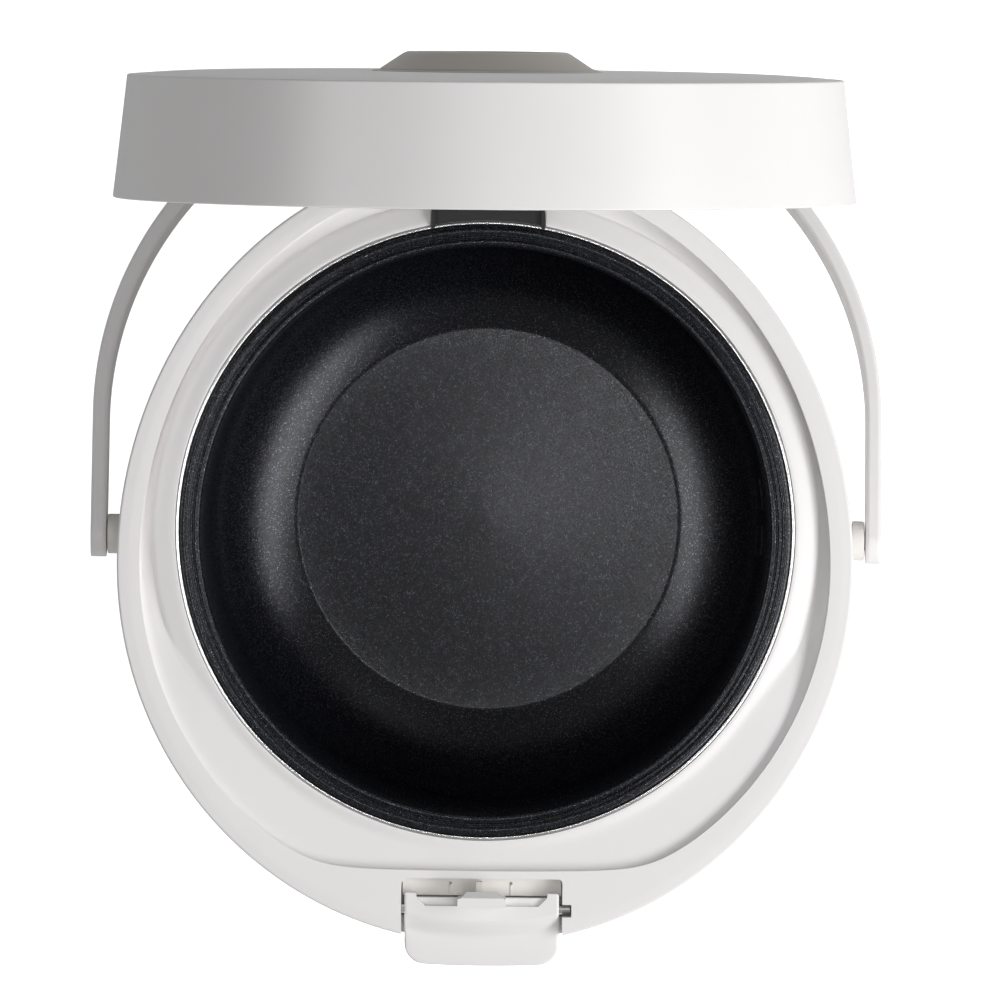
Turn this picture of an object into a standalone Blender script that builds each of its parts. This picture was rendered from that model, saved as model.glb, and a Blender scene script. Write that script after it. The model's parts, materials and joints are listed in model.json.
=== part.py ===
"""A portable rice cooker, lid open and handle folded back.

Metres, +Z up, +Y towards the hinge, +X to the right of someone who faces the front.
Everything is laid out as if the lid were shut and the handle level, and the empties that
carry the lid and the handle are then turned to the pose that the cooker stands in.
"""

from math import atan2, cos, pi, radians, sin, sqrt

import bmesh
import bpy
from mathutils import Matrix, Vector

MM = 0.001
GAP = 0.3 * MM  # between two pieces that touch or slide

# ---- driving dimensions: body -------------------------------------------------------
BODY_HALF_WIDTH = 100.0 * MM
BODY_BACK_REACH = 111.6 * MM  # from the widest line to the back
BODY_FRONT_REACH = 103.0 * MM  # from the widest line to the front
WIDEST_Y = -9.4 * MM  # the widest line, measured from the pot's axis
TOP_Z = 135.0 * MM
SEAM_DEPTH = 10.0 * MM  # of the seam between deck and shell, under the deck
SHELL_BOTTOM_Z = 6.0 * MM
BASE_Z = 4.0 * MM
WALL = 2.5 * MM
OUTLINE_POINTS = 64

# ---- driving dimensions: top deck ---------------------------------------------------
RECESS_HALF_WIDTH = 93.7 * MM
RECESS_BACK_REACH = 105.9 * MM
RECESS_FRONT_REACH = 94.4 * MM
RECESS_FLAT_INSET = 19.5 * MM  # inside the body's front
RECESS_CORNER = 5.0 * MM
RECESS_DEPTH = 3.4 * MM  # of the moat's floor under the deck
COLLAR_PROFILE = (  # distance from the pot's axis, and depth under the deck, in millimetres
    (92.2, 3.4), (91.0, 2.4), (89.8, 1.6), (87.2, 0.9),
)
COLLAR_TOP_DEPTH = 0.4 * MM
SHELF_DEPTH = 3.8 * MM
HINGE_SEAT_DEPTH = 2.6 * MM
DECK_UNDERSIDE = 5.0 * MM
SKIRT_WALL = 1.9 * MM
SKIRT_DEPTH = 6.0 * MM

# ---- driving dimensions: pot, bucket and heater -------------------------------------
POT_FLANGE_RADIUS = 83.0 * MM
POT_FLANGE_WIDTH = 6.0 * MM
POT_WALL = 2.0 * MM
POT_FLOOR_RADIUS = 55.0 * MM
POT_FLOOR_Z = 44.0 * MM  # underside of the pot
POT_FLANGE_DEPTH = 2.3 * MM  # of the flange's underside under the deck
POT_FLANGE_THICKNESS = 2.1 * MM
BUCKET_CLEARANCE = 1.4 * MM
BUCKET_SHEET = 1.0 * MM
BUCKET_LIP = 0.6 * MM  # thickness of the lip that stands up round the pot's flange
BUCKET_FLOOR_Z = 34.0 * MM
PLATE_RADIUS = 58.0 * MM
PLATE_THICKNESS = 10.5 * MM
HEATER_RING_RADIUS = 40.0 * MM
HEATER_TUBE_RADIUS = 4.2 * MM
SENSOR_RADIUS = 15.5 * MM
SENSOR_STEM_RADIUS = 4.0 * MM
SENSOR_TRAVEL = 3.0 * MM
POST_RADIUS = 4.5 * MM
POST_CIRCLE = 51.5 * MM
POST_COUNT = 3
ROUND = 48  # sides of the large turned pieces

# ---- driving dimensions: lid --------------------------------------------------------
LID_INSET = 3.4 * MM  # of the lid's rim inside the body's outline
LID_TAPER = 3.5 * MM
LID_HEIGHT = 32.0 * MM
LID_CROWN = 1.0 * MM
LID_OPEN_DEG = 89.0
HINGE_INSET = 5.7 * MM  # of the hinge's axis inside the body's back
HINGE_HEIGHT = 4.3 * MM  # of the hinge's axis over the deck
HINGE_HALF_WIDTH = 15.4 * MM
KNUCKLE_RADIUS = 3.4 * MM
KNUCKLE_WIDTH = 4.7 * MM
HINGE_PIN_RADIUS = 1.5 * MM
LINER_RISE = 1.0 * MM  # of the liner's underside over the deck
LINER_THICKNESS = 4.5 * MM
GASKET_INSET = 0.7 * MM  # of the gasket inside the pot's flange
GASKET_WIDTH = 6.0 * MM
GASKET_HEIGHT = 3.1 * MM
INNER_LID_INSET = 4.7 * MM  # of the inner lid plate inside the gasket's outside
TOP_PANEL_INSET = 24.0 * MM
TOP_PANEL_THICKNESS = 2.1 * MM
TOP_PANEL_SINK = 2.4 * MM  # of the panel's seat under the crown of the lid
VENT_Y = 20.0 * MM
VENT_BASE_RADIUS = 30.2 * MM
VENT_TOP_RADIUS = 21.3 * MM
VENT_HEIGHT = 6.0 * MM
VENT_SINK = 1.1 * MM  # of the cap's well under the panel's top
VENT_STEM_RADIUS = 9.5 * MM
VENT_STEM_LENGTH = 10.0 * MM
DUCT_WALL = 1.6 * MM

# ---- driving dimensions: handle -----------------------------------------------------
HANDLE_PIVOT_Y = -2.6 * MM
HANDLE_PIVOT_DEPTH = 23.0 * MM  # of the handle's axis under the deck
HANDLE_STANDOFF = 5.85 * MM  # of the arm's middle outside the body's side
HANDLE_THICKNESS = 4.3 * MM
HANDLE_WIDTH = 12.6 * MM
HANDLE_ARM = 33.0 * MM  # straight run from the pivot
HANDLE_BEND_RADIUS = 98.0 * MM
HANDLE_CHAMFER = 0.9 * MM
HANDLE_DROOP_DEG = 14.0
BOSS_RADIUS = 5.45 * MM
PIVOT_RADIUS = 2.6 * MM
SHANK_RADIUS = 3.4 * MM

# ---- driving dimensions: latch ------------------------------------------------------
LATCH_HALF_WIDTH = 21.1 * MM
LATCH_SIDE_GAP = 0.8 * MM
POCKET_BACK_INSET = 17.9 * MM  # inside the body's front
LATCH_PIN_INSET = 9.3 * MM  # inside the body's front
LATCH_PIN_DROP = 6.0 * MM  # of the pin's axis under the deck
LATCH_PIN_RADIUS = 1.4 * MM
LATCH_BARREL_RADIUS = 2.9 * MM
LATCH_TIP_REACH = 6.3 * MM  # of the tab in front of the body
LATCH_PLATE = 2.4 * MM
LATCH_EAR_INSET = 14.0 * MM  # inside the body's front
LATCH_EAR_WIDTH = 3.2 * MM
LATCH_EDGE_INSET = 10.5 * MM  # inside the body's front
LATCH_TAB_DROP = 4.2 * MM
LATCH_TIP_CORNER = 5.4 * MM
CLAW_HALF_WIDTH = 6.5 * MM
CLAW_TIP_INSET = 14.7 * MM  # inside the body's front
CLAW_BACK_INSET = 13.1 * MM  # inside the body's front
CATCH_RISE = 2.8 * MM  # of the catch bar's underside over the deck
CATCH_THICKNESS = 1.8 * MM
CATCH_DEPTH = 3.0 * MM
HOOK_THICKNESS = 2.1 * MM

# ---- driving dimensions: controls, socket and feet ----------------------------------
PANEL_HALF_WIDTH = 23.7 * MM
PANEL_LOW_Z = 58.0 * MM
PANEL_HEIGHT = 40.0 * MM
PANEL_PROUD = 0.5 * MM
PANEL_THICKNESS = 3.5 * MM
WINDOW_HALF_WIDTH = 13.0 * MM
WINDOW_LOW_Z = 82.0 * MM
WINDOW_HEIGHT = 11.0 * MM
BUTTON_RADIUS = 6.0 * MM
BUTTON_X = 10.5 * MM
BUTTON_Z = 69.0 * MM
BUTTON_PROUD = 1.4 * MM
BUTTON_LENGTH = 10.0 * MM
BUTTON_TRAVEL = 1.2 * MM
SWITCH_SIZE = 6.0 * MM
SWITCH_HEIGHT = 4.0 * MM
BOARD_THICKNESS = 1.6 * MM
INLET_Z = 30.0 * MM
INLET_WIDTH = 24.6 * MM
INLET_HEIGHT = 16.6 * MM
INLET_DEPTH = 15.0 * MM
INLET_WALL = 2.0 * MM
INLET_FLANGE = 4.0 * MM
PRONG_LENGTH = 12.0 * MM
FOOT_RADIUS = 7.0 * MM
FOOT_PLACES = (
    (-52.0 * MM, -68.0 * MM), (52.0 * MM, -68.0 * MM), (-55.0 * MM, 62.0 * MM), (55.0 * MM, 62.0 * MM),
)
SCREW_HEAD_RADIUS = 3.0 * MM
SCREW_SHANK_RADIUS = 1.5 * MM

# ---- derived places and levels ------------------------------------------------------
FRONT_Y = WIDEST_Y - BODY_FRONT_REACH
BACK_Y = WIDEST_Y + BODY_BACK_REACH
RECESS_FLAT_Y = FRONT_Y + RECESS_FLAT_INSET
POCKET_BACK_Y = FRONT_Y + POCKET_BACK_INSET
LATCH_PIN_Y = FRONT_Y + LATCH_PIN_INSET
LATCH_EAR_Y = FRONT_Y + LATCH_EAR_INSET
LATCH_EDGE_Y = FRONT_Y + LATCH_EDGE_INSET
CLAW_TIP_Y = FRONT_Y + CLAW_TIP_INSET
CLAW_BACK_Y = FRONT_Y + CLAW_BACK_INSET
LATCH_TIP_Y = FRONT_Y - LATCH_TIP_REACH
SEAM_Z = TOP_Z - SEAM_DEPTH
HINGE_Y = BACK_Y - HINGE_INSET
HANDLE_PIVOT_Z = TOP_Z - HANDLE_PIVOT_DEPTH
HANDLE_CENTRE_X = BODY_HALF_WIDTH + HANDLE_STANDOFF
POT_INNER_RADIUS = POT_FLANGE_RADIUS - POT_FLANGE_WIDTH
POT_FLANGE_Z = TOP_Z - POT_FLANGE_DEPTH
GASKET_RADIUS = POT_FLANGE_RADIUS - GASKET_INSET
INNER_LID_RADIUS = GASKET_RADIUS - INNER_LID_INSET
LID_RIM_Z = TOP_Z + GAP
LID_TOP_Z = LID_RIM_Z + LID_HEIGHT
PANEL_SEAT_Z = LID_TOP_Z + LID_CROWN - TOP_PANEL_SINK
PANEL_TOP_Z = PANEL_SEAT_Z + GAP + TOP_PANEL_THICKNESS
VENT_SEAT_Z = PANEL_TOP_Z - VENT_SINK + GAP
HINGE_Z = TOP_Z + HINGE_HEIGHT
FLOOR_Z = TOP_Z - RECESS_DEPTH
COLLAR_TOP_Z = TOP_Z - COLLAR_TOP_DEPTH
SHELF_Z = TOP_Z - SHELF_DEPTH
HINGE_SEAT_Z = TOP_Z - HINGE_SEAT_DEPTH
HOLE_RADIUS = POT_FLANGE_RADIUS + BUCKET_LIP + 2 * GAP
BUCKET_RADIUS = POT_INNER_RADIUS + POT_WALL + BUCKET_CLEARANCE
BUCKET_FLANGE_RADIUS = HOLE_RADIUS - GAP
BUCKET_FLANGE_Z = SHELF_Z + GAP
PLATE_TOP_Z = POT_FLOOR_Z - GAP
PLATE_Z = PLATE_TOP_Z - PLATE_THICKNESS
POT_RIM_Z = POT_FLANGE_Z + POT_FLANGE_THICKNESS
LINER_Z = TOP_Z + LINER_RISE
LINER_TOP_Z = LINER_Z + LINER_THICKNESS
GASKET_Z = POT_RIM_Z + GAP
LATCH_TOP_Z = TOP_Z - 0.4 * MM
LATCH_PIN_Z = TOP_Z - LATCH_PIN_DROP
BASE_FLOOR_Z = BASE_Z + WALL
BASE_INSET = 8.8 * MM
INLET_FACE_Y = WIDEST_Y + BODY_BACK_REACH


# ---- materials ----------------------------------------------------------------------
def finish(name, colour, roughness, metallic=0.0):
    material = bpy.data.materials.new(name)
    material.use_nodes = True
    shader = material.node_tree.nodes["Principled BSDF"]
    shader.inputs["Base Color"].default_value = (*colour, 1.0)
    shader.inputs["Roughness"].default_value = roughness
    shader.inputs["Metallic"].default_value = metallic
    material.diffuse_color = (*colour, 1.0)
    return material


# ---- empties that carry the bodies --------------------------------------------------
def pivot(name, location, parent=None):
    empty = bpy.data.objects.new(name, None)
    empty.location = location
    empty.parent = parent
    bpy.context.scene.collection.objects.link(empty)
    return empty


def place(name, bm, material, carrier):
    """Names a shape drawn in the cooker's frame and hangs it on the empty that carries it."""
    bmesh.ops.recalc_face_normals(bm, faces=bm.faces)
    mesh = bpy.data.meshes.new(name)
    bm.to_mesh(mesh)
    bm.free()
    if carrier.parent is not None:
        mesh.transform(Matrix.Translation(-carrier.location))
    mesh.materials.append(material)
    mesh.shade_smooth()
    mesh.set_sharp_from_angle(angle=radians(35))
    body = bpy.data.objects.new(name, mesh)
    body.parent = carrier
    bpy.context.scene.collection.objects.link(body)
    return body


# ---- shapes -------------------------------------------------------------------------
def ring_body(name, rings, material, carrier, loop=False):
    """A closed body through rings of points: capped at both ends, or joined end to end."""
    bm = bmesh.new()
    rows = [[bm.verts.new(point) for point in ring] for ring in rings]
    pairs = list(zip(rows, rows[1:]))
    if loop:
        pairs.append((rows[-1], rows[0]))
    for lower, upper in pairs:
        for here in range(len(lower)):
            following = (here + 1) % len(lower)
            bm.faces.new((lower[here], lower[following], upper[following], upper[here]))
    if not loop:
        bm.faces.new(rows[0])
        bm.faces.new(rows[-1])
    return place(name, bm, material, carrier)


def along(axis, radial, angle, reach, origin):
    """A point at an angle and a distance round one of the frame's axes."""
    first, second = radial * cos(angle), radial * sin(angle)
    offset = {"X": (reach, first, second), "Y": (first, reach, second), "Z": (first, second, reach)}[axis]
    return Vector(origin) + Vector(offset)


def turned(name, profile, material, carrier, origin=(0.0, 0.0, 0.0), axis="Z", sides=24, loop=False):
    """A turned piece: the profile's (radius, reach) points swept round an axis."""
    angles = [2 * pi * side / sides for side in range(sides)]
    rings = [[along(axis, radius, angle, reach, origin) for angle in angles] for radius, reach in profile]
    return ring_body(name, rings, material, carrier, loop)


def prism(name, outline, low, high, material, carrier, axis="Z"):
    """A polygon in the other two axes, extruded from low to high along one."""
    def point(first, second, reach):
        return {"X": (reach, first, second), "Y": (first, reach, second), "Z": (first, second, reach)}[axis]

    rings = [[Vector(point(first, second, reach)) for first, second in outline] for reach in (low, high)]
    return ring_body(name, rings, material, carrier)


def block(name, low, high, material, carrier):
    outline = ((low[0], low[1]), (high[0], low[1]), (high[0], high[1]), (low[0], high[1]))
    return prism(name, outline, low[2], high[2], material, carrier)


def coil(name, radius, wire, turns, low, high, material, carrier, origin, axis, steps=10, sides=5):
    """A helical spring of round wire."""
    rings = []
    for step in range(turns * steps + 1):
        turn = 2 * pi * step / steps
        reach = low + (high - low) * step / (turns * steps)
        ring = []
        for side in range(sides):
            around = 2 * pi * side / sides
            ring.append(along(axis, radius + wire * cos(around), turn, reach + wire * sin(around), origin))
        rings.append(ring)
    return ring_body(name, rings, material, carrier)


def combine(operation, target, *tools):
    """Cuts, joins or intersects with helper shapes that aren't pieces themselves."""
    for tool in tools:
        tool.hide_render = True
        tool.display_type = "WIRE"
        modifier = target.modifiers.new(operation.lower(), "BOOLEAN")
        modifier.operation = operation
        modifier.solver = "EXACT"
        modifier.object = tool
    return target


def mirrored(value):
    return (("left", -value), ("right", value))


# ---- plan outlines ------------------------------------------------------------------
def half_ellipses(half_width, back, front, inset, z):
    ring = []
    for point in range(OUTLINE_POINTS):
        angle = 2 * pi * point / OUTLINE_POINTS
        reach = back if sin(angle) > 0 else front
        ring.append(Vector(((half_width - inset) * cos(angle), WIDEST_Y + (reach - inset) * sin(angle), z)))
    return ring


def body_ring(inset, z):
    return half_ellipses(BODY_HALF_WIDTH, BODY_BACK_REACH, BODY_FRONT_REACH, inset, z)


def recess_ring(inset, z):
    """The deck's recess: the body's oval with its front end cut off by a soft straight line."""
    ring = half_ellipses(RECESS_HALF_WIDTH, RECESS_BACK_REACH, RECESS_FRONT_REACH, inset, z)
    for point in ring:
        over = point.y - (RECESS_FLAT_Y + inset)
        point.y = RECESS_FLAT_Y + inset + 0.5 * (over + sqrt(over * over + RECESS_CORNER * RECESS_CORNER))
    return ring


def pot_ring(radius, z):
    """A circle round the pot's axis whose points lie in line with the body outline's."""
    angles = [atan2(point.y, point.x) for point in body_ring(0.0, z)]
    return [Vector((radius * cos(angle), radius * sin(angle), z)) for angle in angles]


def front_y(x, inset=0.0):
    """The body's front face at a distance from the middle."""
    return WIDEST_Y - (BODY_FRONT_REACH - inset) * sqrt(1.0 - (x / (BODY_HALF_WIDTH - inset)) ** 2)


def front_slab(name, half_width, low, high, outer, inner, material, carrier, steps=10):
    """A curved slab that follows the body's front between two insets."""
    stations = [half_width * (2.0 * step / steps - 1.0) for step in range(steps + 1)]
    outline = [(x, front_y(x, outer)) for x in stations]
    outline += [(x, front_y(x, inner)) for x in reversed(stations)]
    return prism(name, outline, low, high, material, carrier)


# ---- housing ------------------------------------------------------------------------
def outer_shell(white, housing):
    outer = ((6.0, 6.0), (3.2, 8.5), (1.6, 14.0), (1.2, 40.0), (0.3, 100.0))
    rings = [body_ring(inset * MM, z * MM) for inset, z in outer]
    rings.append(body_ring(0.0, SEAM_Z))
    rings.append(body_ring(WALL, SEAM_Z))
    rings += [body_ring(inset * MM + WALL, z * MM) for inset, z in reversed(outer)]
    shell = ring_body("outer_shell", rings, white, housing, loop=True)
    window = block(
        "panel_window",
        (-PANEL_HALF_WIDTH - GAP, WIDEST_Y - 2 * BODY_FRONT_REACH, PANEL_LOW_Z - GAP),
        (PANEL_HALF_WIDTH + GAP, front_y(0.0, 15.0 * MM), PANEL_LOW_Z + PANEL_HEIGHT + GAP),
        white, housing,
    )
    clear_x = INLET_WIDTH / 2 + INLET_WALL + GAP
    clear_z = INLET_HEIGHT / 2 + INLET_WALL + GAP
    socket = block(
        "socket_opening",
        (-clear_x, INLET_FACE_Y - 15.0 * MM, INLET_Z - clear_z),
        (clear_x, INLET_FACE_Y + 15.0 * MM, INLET_Z + clear_z),
        white, housing,
    )
    shanks = turned(
        "shank_holes", ((SHANK_RADIUS + GAP, -HANDLE_CENTRE_X), (SHANK_RADIUS + GAP, HANDLE_CENTRE_X)),
        white, housing, origin=(0.0, HANDLE_PIVOT_Y, HANDLE_PIVOT_Z), axis="X",
    )
    return combine("DIFFERENCE", shell, window, socket, shanks)


def top_deck(white, housing):
    underside = TOP_Z - DECK_UNDERSIDE
    skirt_outer = WALL + GAP
    skirt_inner = skirt_outer + SKIRT_WALL
    collar_z = SHELF_Z - 4.2 * MM
    shelf_radius = BUCKET_RADIUS + BUCKET_SHEET + GAP
    rings = [
        body_ring(0.0, SEAM_Z + GAP),
        body_ring(0.0, TOP_Z - 2.8 * MM),
        body_ring(0.35 * MM, TOP_Z - 1.4 * MM),
        body_ring(1.1 * MM, TOP_Z - 0.5 * MM),
        body_ring(2.4 * MM, TOP_Z),
        recess_ring(0.0, TOP_Z),
        recess_ring(0.2 * MM, FLOOR_Z),
        *(pot_ring(radius * MM, TOP_Z - depth * MM) for radius, depth in COLLAR_PROFILE),
        pot_ring(HOLE_RADIUS, COLLAR_TOP_Z),
        pot_ring(HOLE_RADIUS, SHELF_Z),
        pot_ring(shelf_radius, SHELF_Z),
        pot_ring(shelf_radius, collar_z),
        pot_ring(shelf_radius + 2.2 * MM, collar_z),
        pot_ring(shelf_radius + 3.6 * MM, underside),
        body_ring(skirt_inner, underside),
        body_ring(skirt_inner, SEAM_Z - SKIRT_DEPTH),
        body_ring(skirt_outer, SEAM_Z - SKIRT_DEPTH),
        body_ring(skirt_outer, SEAM_Z + GAP),
    ]
    deck = ring_body("top_deck", rings, white, housing, loop=True)
    notch_x = LATCH_HALF_WIDTH + LATCH_SIDE_GAP
    ear_out = notch_x + 3.3 * MM
    ears = [
        block(
            f"pin_ear_{side}",
            (min(sign * notch_x, sign * ear_out), LATCH_PIN_Y - 2.6 * MM, LATCH_PIN_Z - 3.2 * MM),
            (max(sign * notch_x, sign * ear_out), LATCH_PIN_Y + 2.6 * MM, underside + 1.0 * MM),
            white, housing,
        )
        for side, sign in mirrored(1.0)
    ]
    combine("UNION", deck, *ears)
    latch_notch = block(
        "latch_notch", (-notch_x, LATCH_TIP_Y - 5.0 * MM, SEAM_Z + 2 * GAP),
        (notch_x, POCKET_BACK_Y, TOP_Z + 5.0 * MM), white, housing,
    )
    pin_reach = LATCH_HALF_WIDTH + 3.3 * MM
    pin_hole = turned(
        "latch_pin_hole", ((LATCH_PIN_RADIUS + GAP, -pin_reach), (LATCH_PIN_RADIUS + GAP, pin_reach)),
        white, housing, origin=(0.0, LATCH_PIN_Y, LATCH_PIN_Z), axis="X",
    )
    pin_slot = block(
        "latch_pin_slot",
        (0.0, LATCH_PIN_Y - LATCH_PIN_RADIUS - GAP, LATCH_PIN_Z),
        (pin_reach, LATCH_PIN_Y + LATCH_PIN_RADIUS + GAP, TOP_Z + 5.0 * MM),
        white, housing,
    )
    hinge_notch = block(
        "hinge_notch",
        (-HINGE_HALF_WIDTH - GAP, POT_INNER_RADIUS, HINGE_SEAT_Z),
        (HINGE_HALF_WIDTH + GAP, HINGE_Y + KNUCKLE_RADIUS + 0.6 * MM, TOP_Z + 5.0 * MM),
        white, housing,
    )
    return combine("DIFFERENCE", deck, latch_notch, pin_hole, pin_slot, hinge_notch)


def base_cover(grey, housing):
    rim = 1.8 * MM
    rings = [
        body_ring(BASE_INSET + 1.0 * MM, BASE_Z),
        body_ring(BASE_INSET, BASE_Z + 1.0 * MM),
        body_ring(BASE_INSET, SHELL_BOTTOM_Z + 6.0 * MM),
        body_ring(BASE_INSET + rim, SHELL_BOTTOM_Z + 6.0 * MM),
        body_ring(BASE_INSET + rim, BASE_FLOOR_Z),
    ]
    cover = ring_body("base_cover", rings, grey, housing)
    slots = [
        block(
            f"vent_slot_{number}", (-18.0 * MM, y * MM, BASE_Z - 1.0 * MM),
            (18.0 * MM, (y + 3.0) * MM, BASE_FLOOR_Z + 1.0 * MM), grey, housing,
        )
        for number, y in enumerate((24.0, 31.0, 38.0))
    ]
    holes = [
        turned(
            f"screw_hole_{number}",
            ((SCREW_HEAD_RADIUS + GAP, BASE_Z - 1.0 * MM), (SCREW_HEAD_RADIUS + GAP, BASE_Z + 1.4 * MM),
             (SCREW_SHANK_RADIUS + GAP, BASE_Z + 1.4 * MM),
             (SCREW_SHANK_RADIUS + GAP, BASE_FLOOR_Z + 1.0 * MM)),
            grey, housing, origin=(x, y, 0.0), sides=16,
        )
        for number, (x, y) in enumerate(post_places())
    ]
    return combine("DIFFERENCE", cover, *slots, *holes)


def post_places():
    angles = [pi / 2 + 2 * pi * number / POST_COUNT for number in range(POST_COUNT)]
    return [(POST_CIRCLE * cos(angle), POST_CIRCLE * sin(angle)) for angle in angles]


def feet(rubber, housing):
    for number, (x, y) in enumerate(FOOT_PLACES, start=1):
        profile = ((FOOT_RADIUS - 0.8 * MM, 0.0), (FOOT_RADIUS, 0.8 * MM), (FOOT_RADIUS, BASE_Z - GAP))
        turned(f"foot_{number}", profile, rubber, housing, origin=(x, y, 0.0), sides=20)


def heat_bucket(steel, housing):
    sheet = BUCKET_SHEET
    top = BUCKET_FLANGE_Z + 0.9 * MM
    lip_z = COLLAR_TOP_Z - 0.1 * MM
    opening = PLATE_RADIUS + 2.0 * MM
    profile = (
        (BUCKET_FLANGE_RADIUS, BUCKET_FLANGE_Z), (BUCKET_FLANGE_RADIUS, lip_z),
        (BUCKET_FLANGE_RADIUS - BUCKET_LIP, lip_z), (BUCKET_FLANGE_RADIUS - BUCKET_LIP, top),
        (BUCKET_RADIUS, top),
        (BUCKET_RADIUS, BUCKET_FLOOR_Z + 6.0 * MM), (BUCKET_RADIUS - 6.0 * MM, BUCKET_FLOOR_Z + sheet),
        (opening, BUCKET_FLOOR_Z + sheet), (opening, BUCKET_FLOOR_Z),
        (BUCKET_RADIUS - 5.6 * MM, BUCKET_FLOOR_Z), (BUCKET_RADIUS + sheet, BUCKET_FLOOR_Z + 6.0 * MM),
        (BUCKET_RADIUS + sheet, BUCKET_FLANGE_Z),
    )
    return turned("heat_bucket", profile, steel, housing, sides=ROUND, loop=True)


def heater(aluminium, steel, spring_steel, black, housing):
    bore = SENSOR_RADIUS + 1.2 * MM
    ring_low = HEATER_RING_RADIUS - HEATER_TUBE_RADIUS
    ring_high = HEATER_RING_RADIUS + HEATER_TUBE_RADIUS
    ring_z = PLATE_Z - HEATER_TUBE_RADIUS
    plate = (
        (PLATE_RADIUS - 1.5 * MM, PLATE_TOP_Z), (PLATE_RADIUS, PLATE_TOP_Z - 1.5 * MM),
        (PLATE_RADIUS, PLATE_Z),
        (ring_high, PLATE_Z), (ring_high - 1.5 * MM, ring_z), (ring_low + 1.5 * MM, ring_z),
        (ring_low, PLATE_Z),
        (bore, PLATE_Z), (bore, PLATE_TOP_Z),
    )
    turned("heating_plate", plate, aluminium, housing, sides=48, loop=True)
    for number, (x, y) in enumerate(post_places(), start=1):
        turned(
            f"plate_post_{number}",
            ((POST_RADIUS, BASE_FLOOR_Z + GAP), (POST_RADIUS, PLATE_Z - GAP),
             (SCREW_SHANK_RADIUS + GAP, PLATE_Z - GAP), (SCREW_SHANK_RADIUS + GAP, BASE_FLOOR_Z + GAP)),
            steel, housing, origin=(x, y, 0.0), sides=14, loop=True,
        )
        head = BASE_Z + 0.2 * MM
        turned(
            f"base_screw_{number}",
            ((SCREW_HEAD_RADIUS, head), (SCREW_HEAD_RADIUS, head + 0.9 * MM),
             (SCREW_SHANK_RADIUS, head + 0.9 * MM), (SCREW_SHANK_RADIUS, head + 12.0 * MM)),
            steel, housing, origin=(x, y, 0.0), sides=14,
        )
    guide_top = BASE_FLOOR_Z + 13.0 * MM
    turned(
        "sensor_guide",
        ((12.0 * MM, BASE_FLOOR_Z + GAP), (12.0 * MM, BASE_FLOOR_Z + 2.0 * MM),
         (8.0 * MM, BASE_FLOOR_Z + 2.0 * MM),
         (8.0 * MM, guide_top), (SENSOR_STEM_RADIUS + GAP, guide_top),
         (SENSOR_STEM_RADIUS + GAP, BASE_FLOOR_Z + GAP)),
        black, housing, sides=24, loop=True,
    )
    cup_z = PLATE_TOP_Z - 8.0 * MM
    turned(
        "pot_sensor",
        ((SENSOR_STEM_RADIUS, BASE_FLOOR_Z + SENSOR_TRAVEL + 2.0 * MM), (SENSOR_STEM_RADIUS, cup_z),
         (SENSOR_RADIUS, cup_z), (SENSOR_RADIUS, PLATE_TOP_Z - 1.0 * MM),
         (SENSOR_RADIUS - 1.0 * MM, PLATE_TOP_Z)),
        steel, housing, sides=24,
    )
    wire = 0.6 * MM
    coil(
        "sensor_spring", 6.4 * MM, wire, 4, guide_top + wire + GAP, cup_z - wire - GAP,
        spring_steel, housing, (0.0, 0.0, 0.0), "Z",
    )
    fuse_y = HEATER_RING_RADIUS + 11.5 * MM
    turned(
        "thermal_fuse", ((2.2 * MM, -9.0 * MM), (2.2 * MM, 9.0 * MM)), steel, housing,
        origin=(0.0, -fuse_y, PLATE_Z - GAP - 2.2 * MM), axis="X", sides=10,
    )


def electronics(green, black, housing):
    board_z = BASE_FLOOR_Z + GAP
    board_top = board_z + BOARD_THICKNESS
    block(
        "power_board", (-40.0 * MM, -76.0 * MM, board_z), (40.0 * MM, -56.0 * MM, board_top), green, housing,
    )
    low, high = board_top + GAP, board_top + GAP + 15.0 * MM
    block("heater_relay", (-36.0 * MM, -74.0 * MM, low), (-18.0 * MM, -59.0 * MM, high), black, housing)
    block(
        "supply_module", (4.0 * MM, -74.0 * MM, low), (32.0 * MM, -59.0 * MM, high - 3.0 * MM),
        black, housing,
    )


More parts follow.
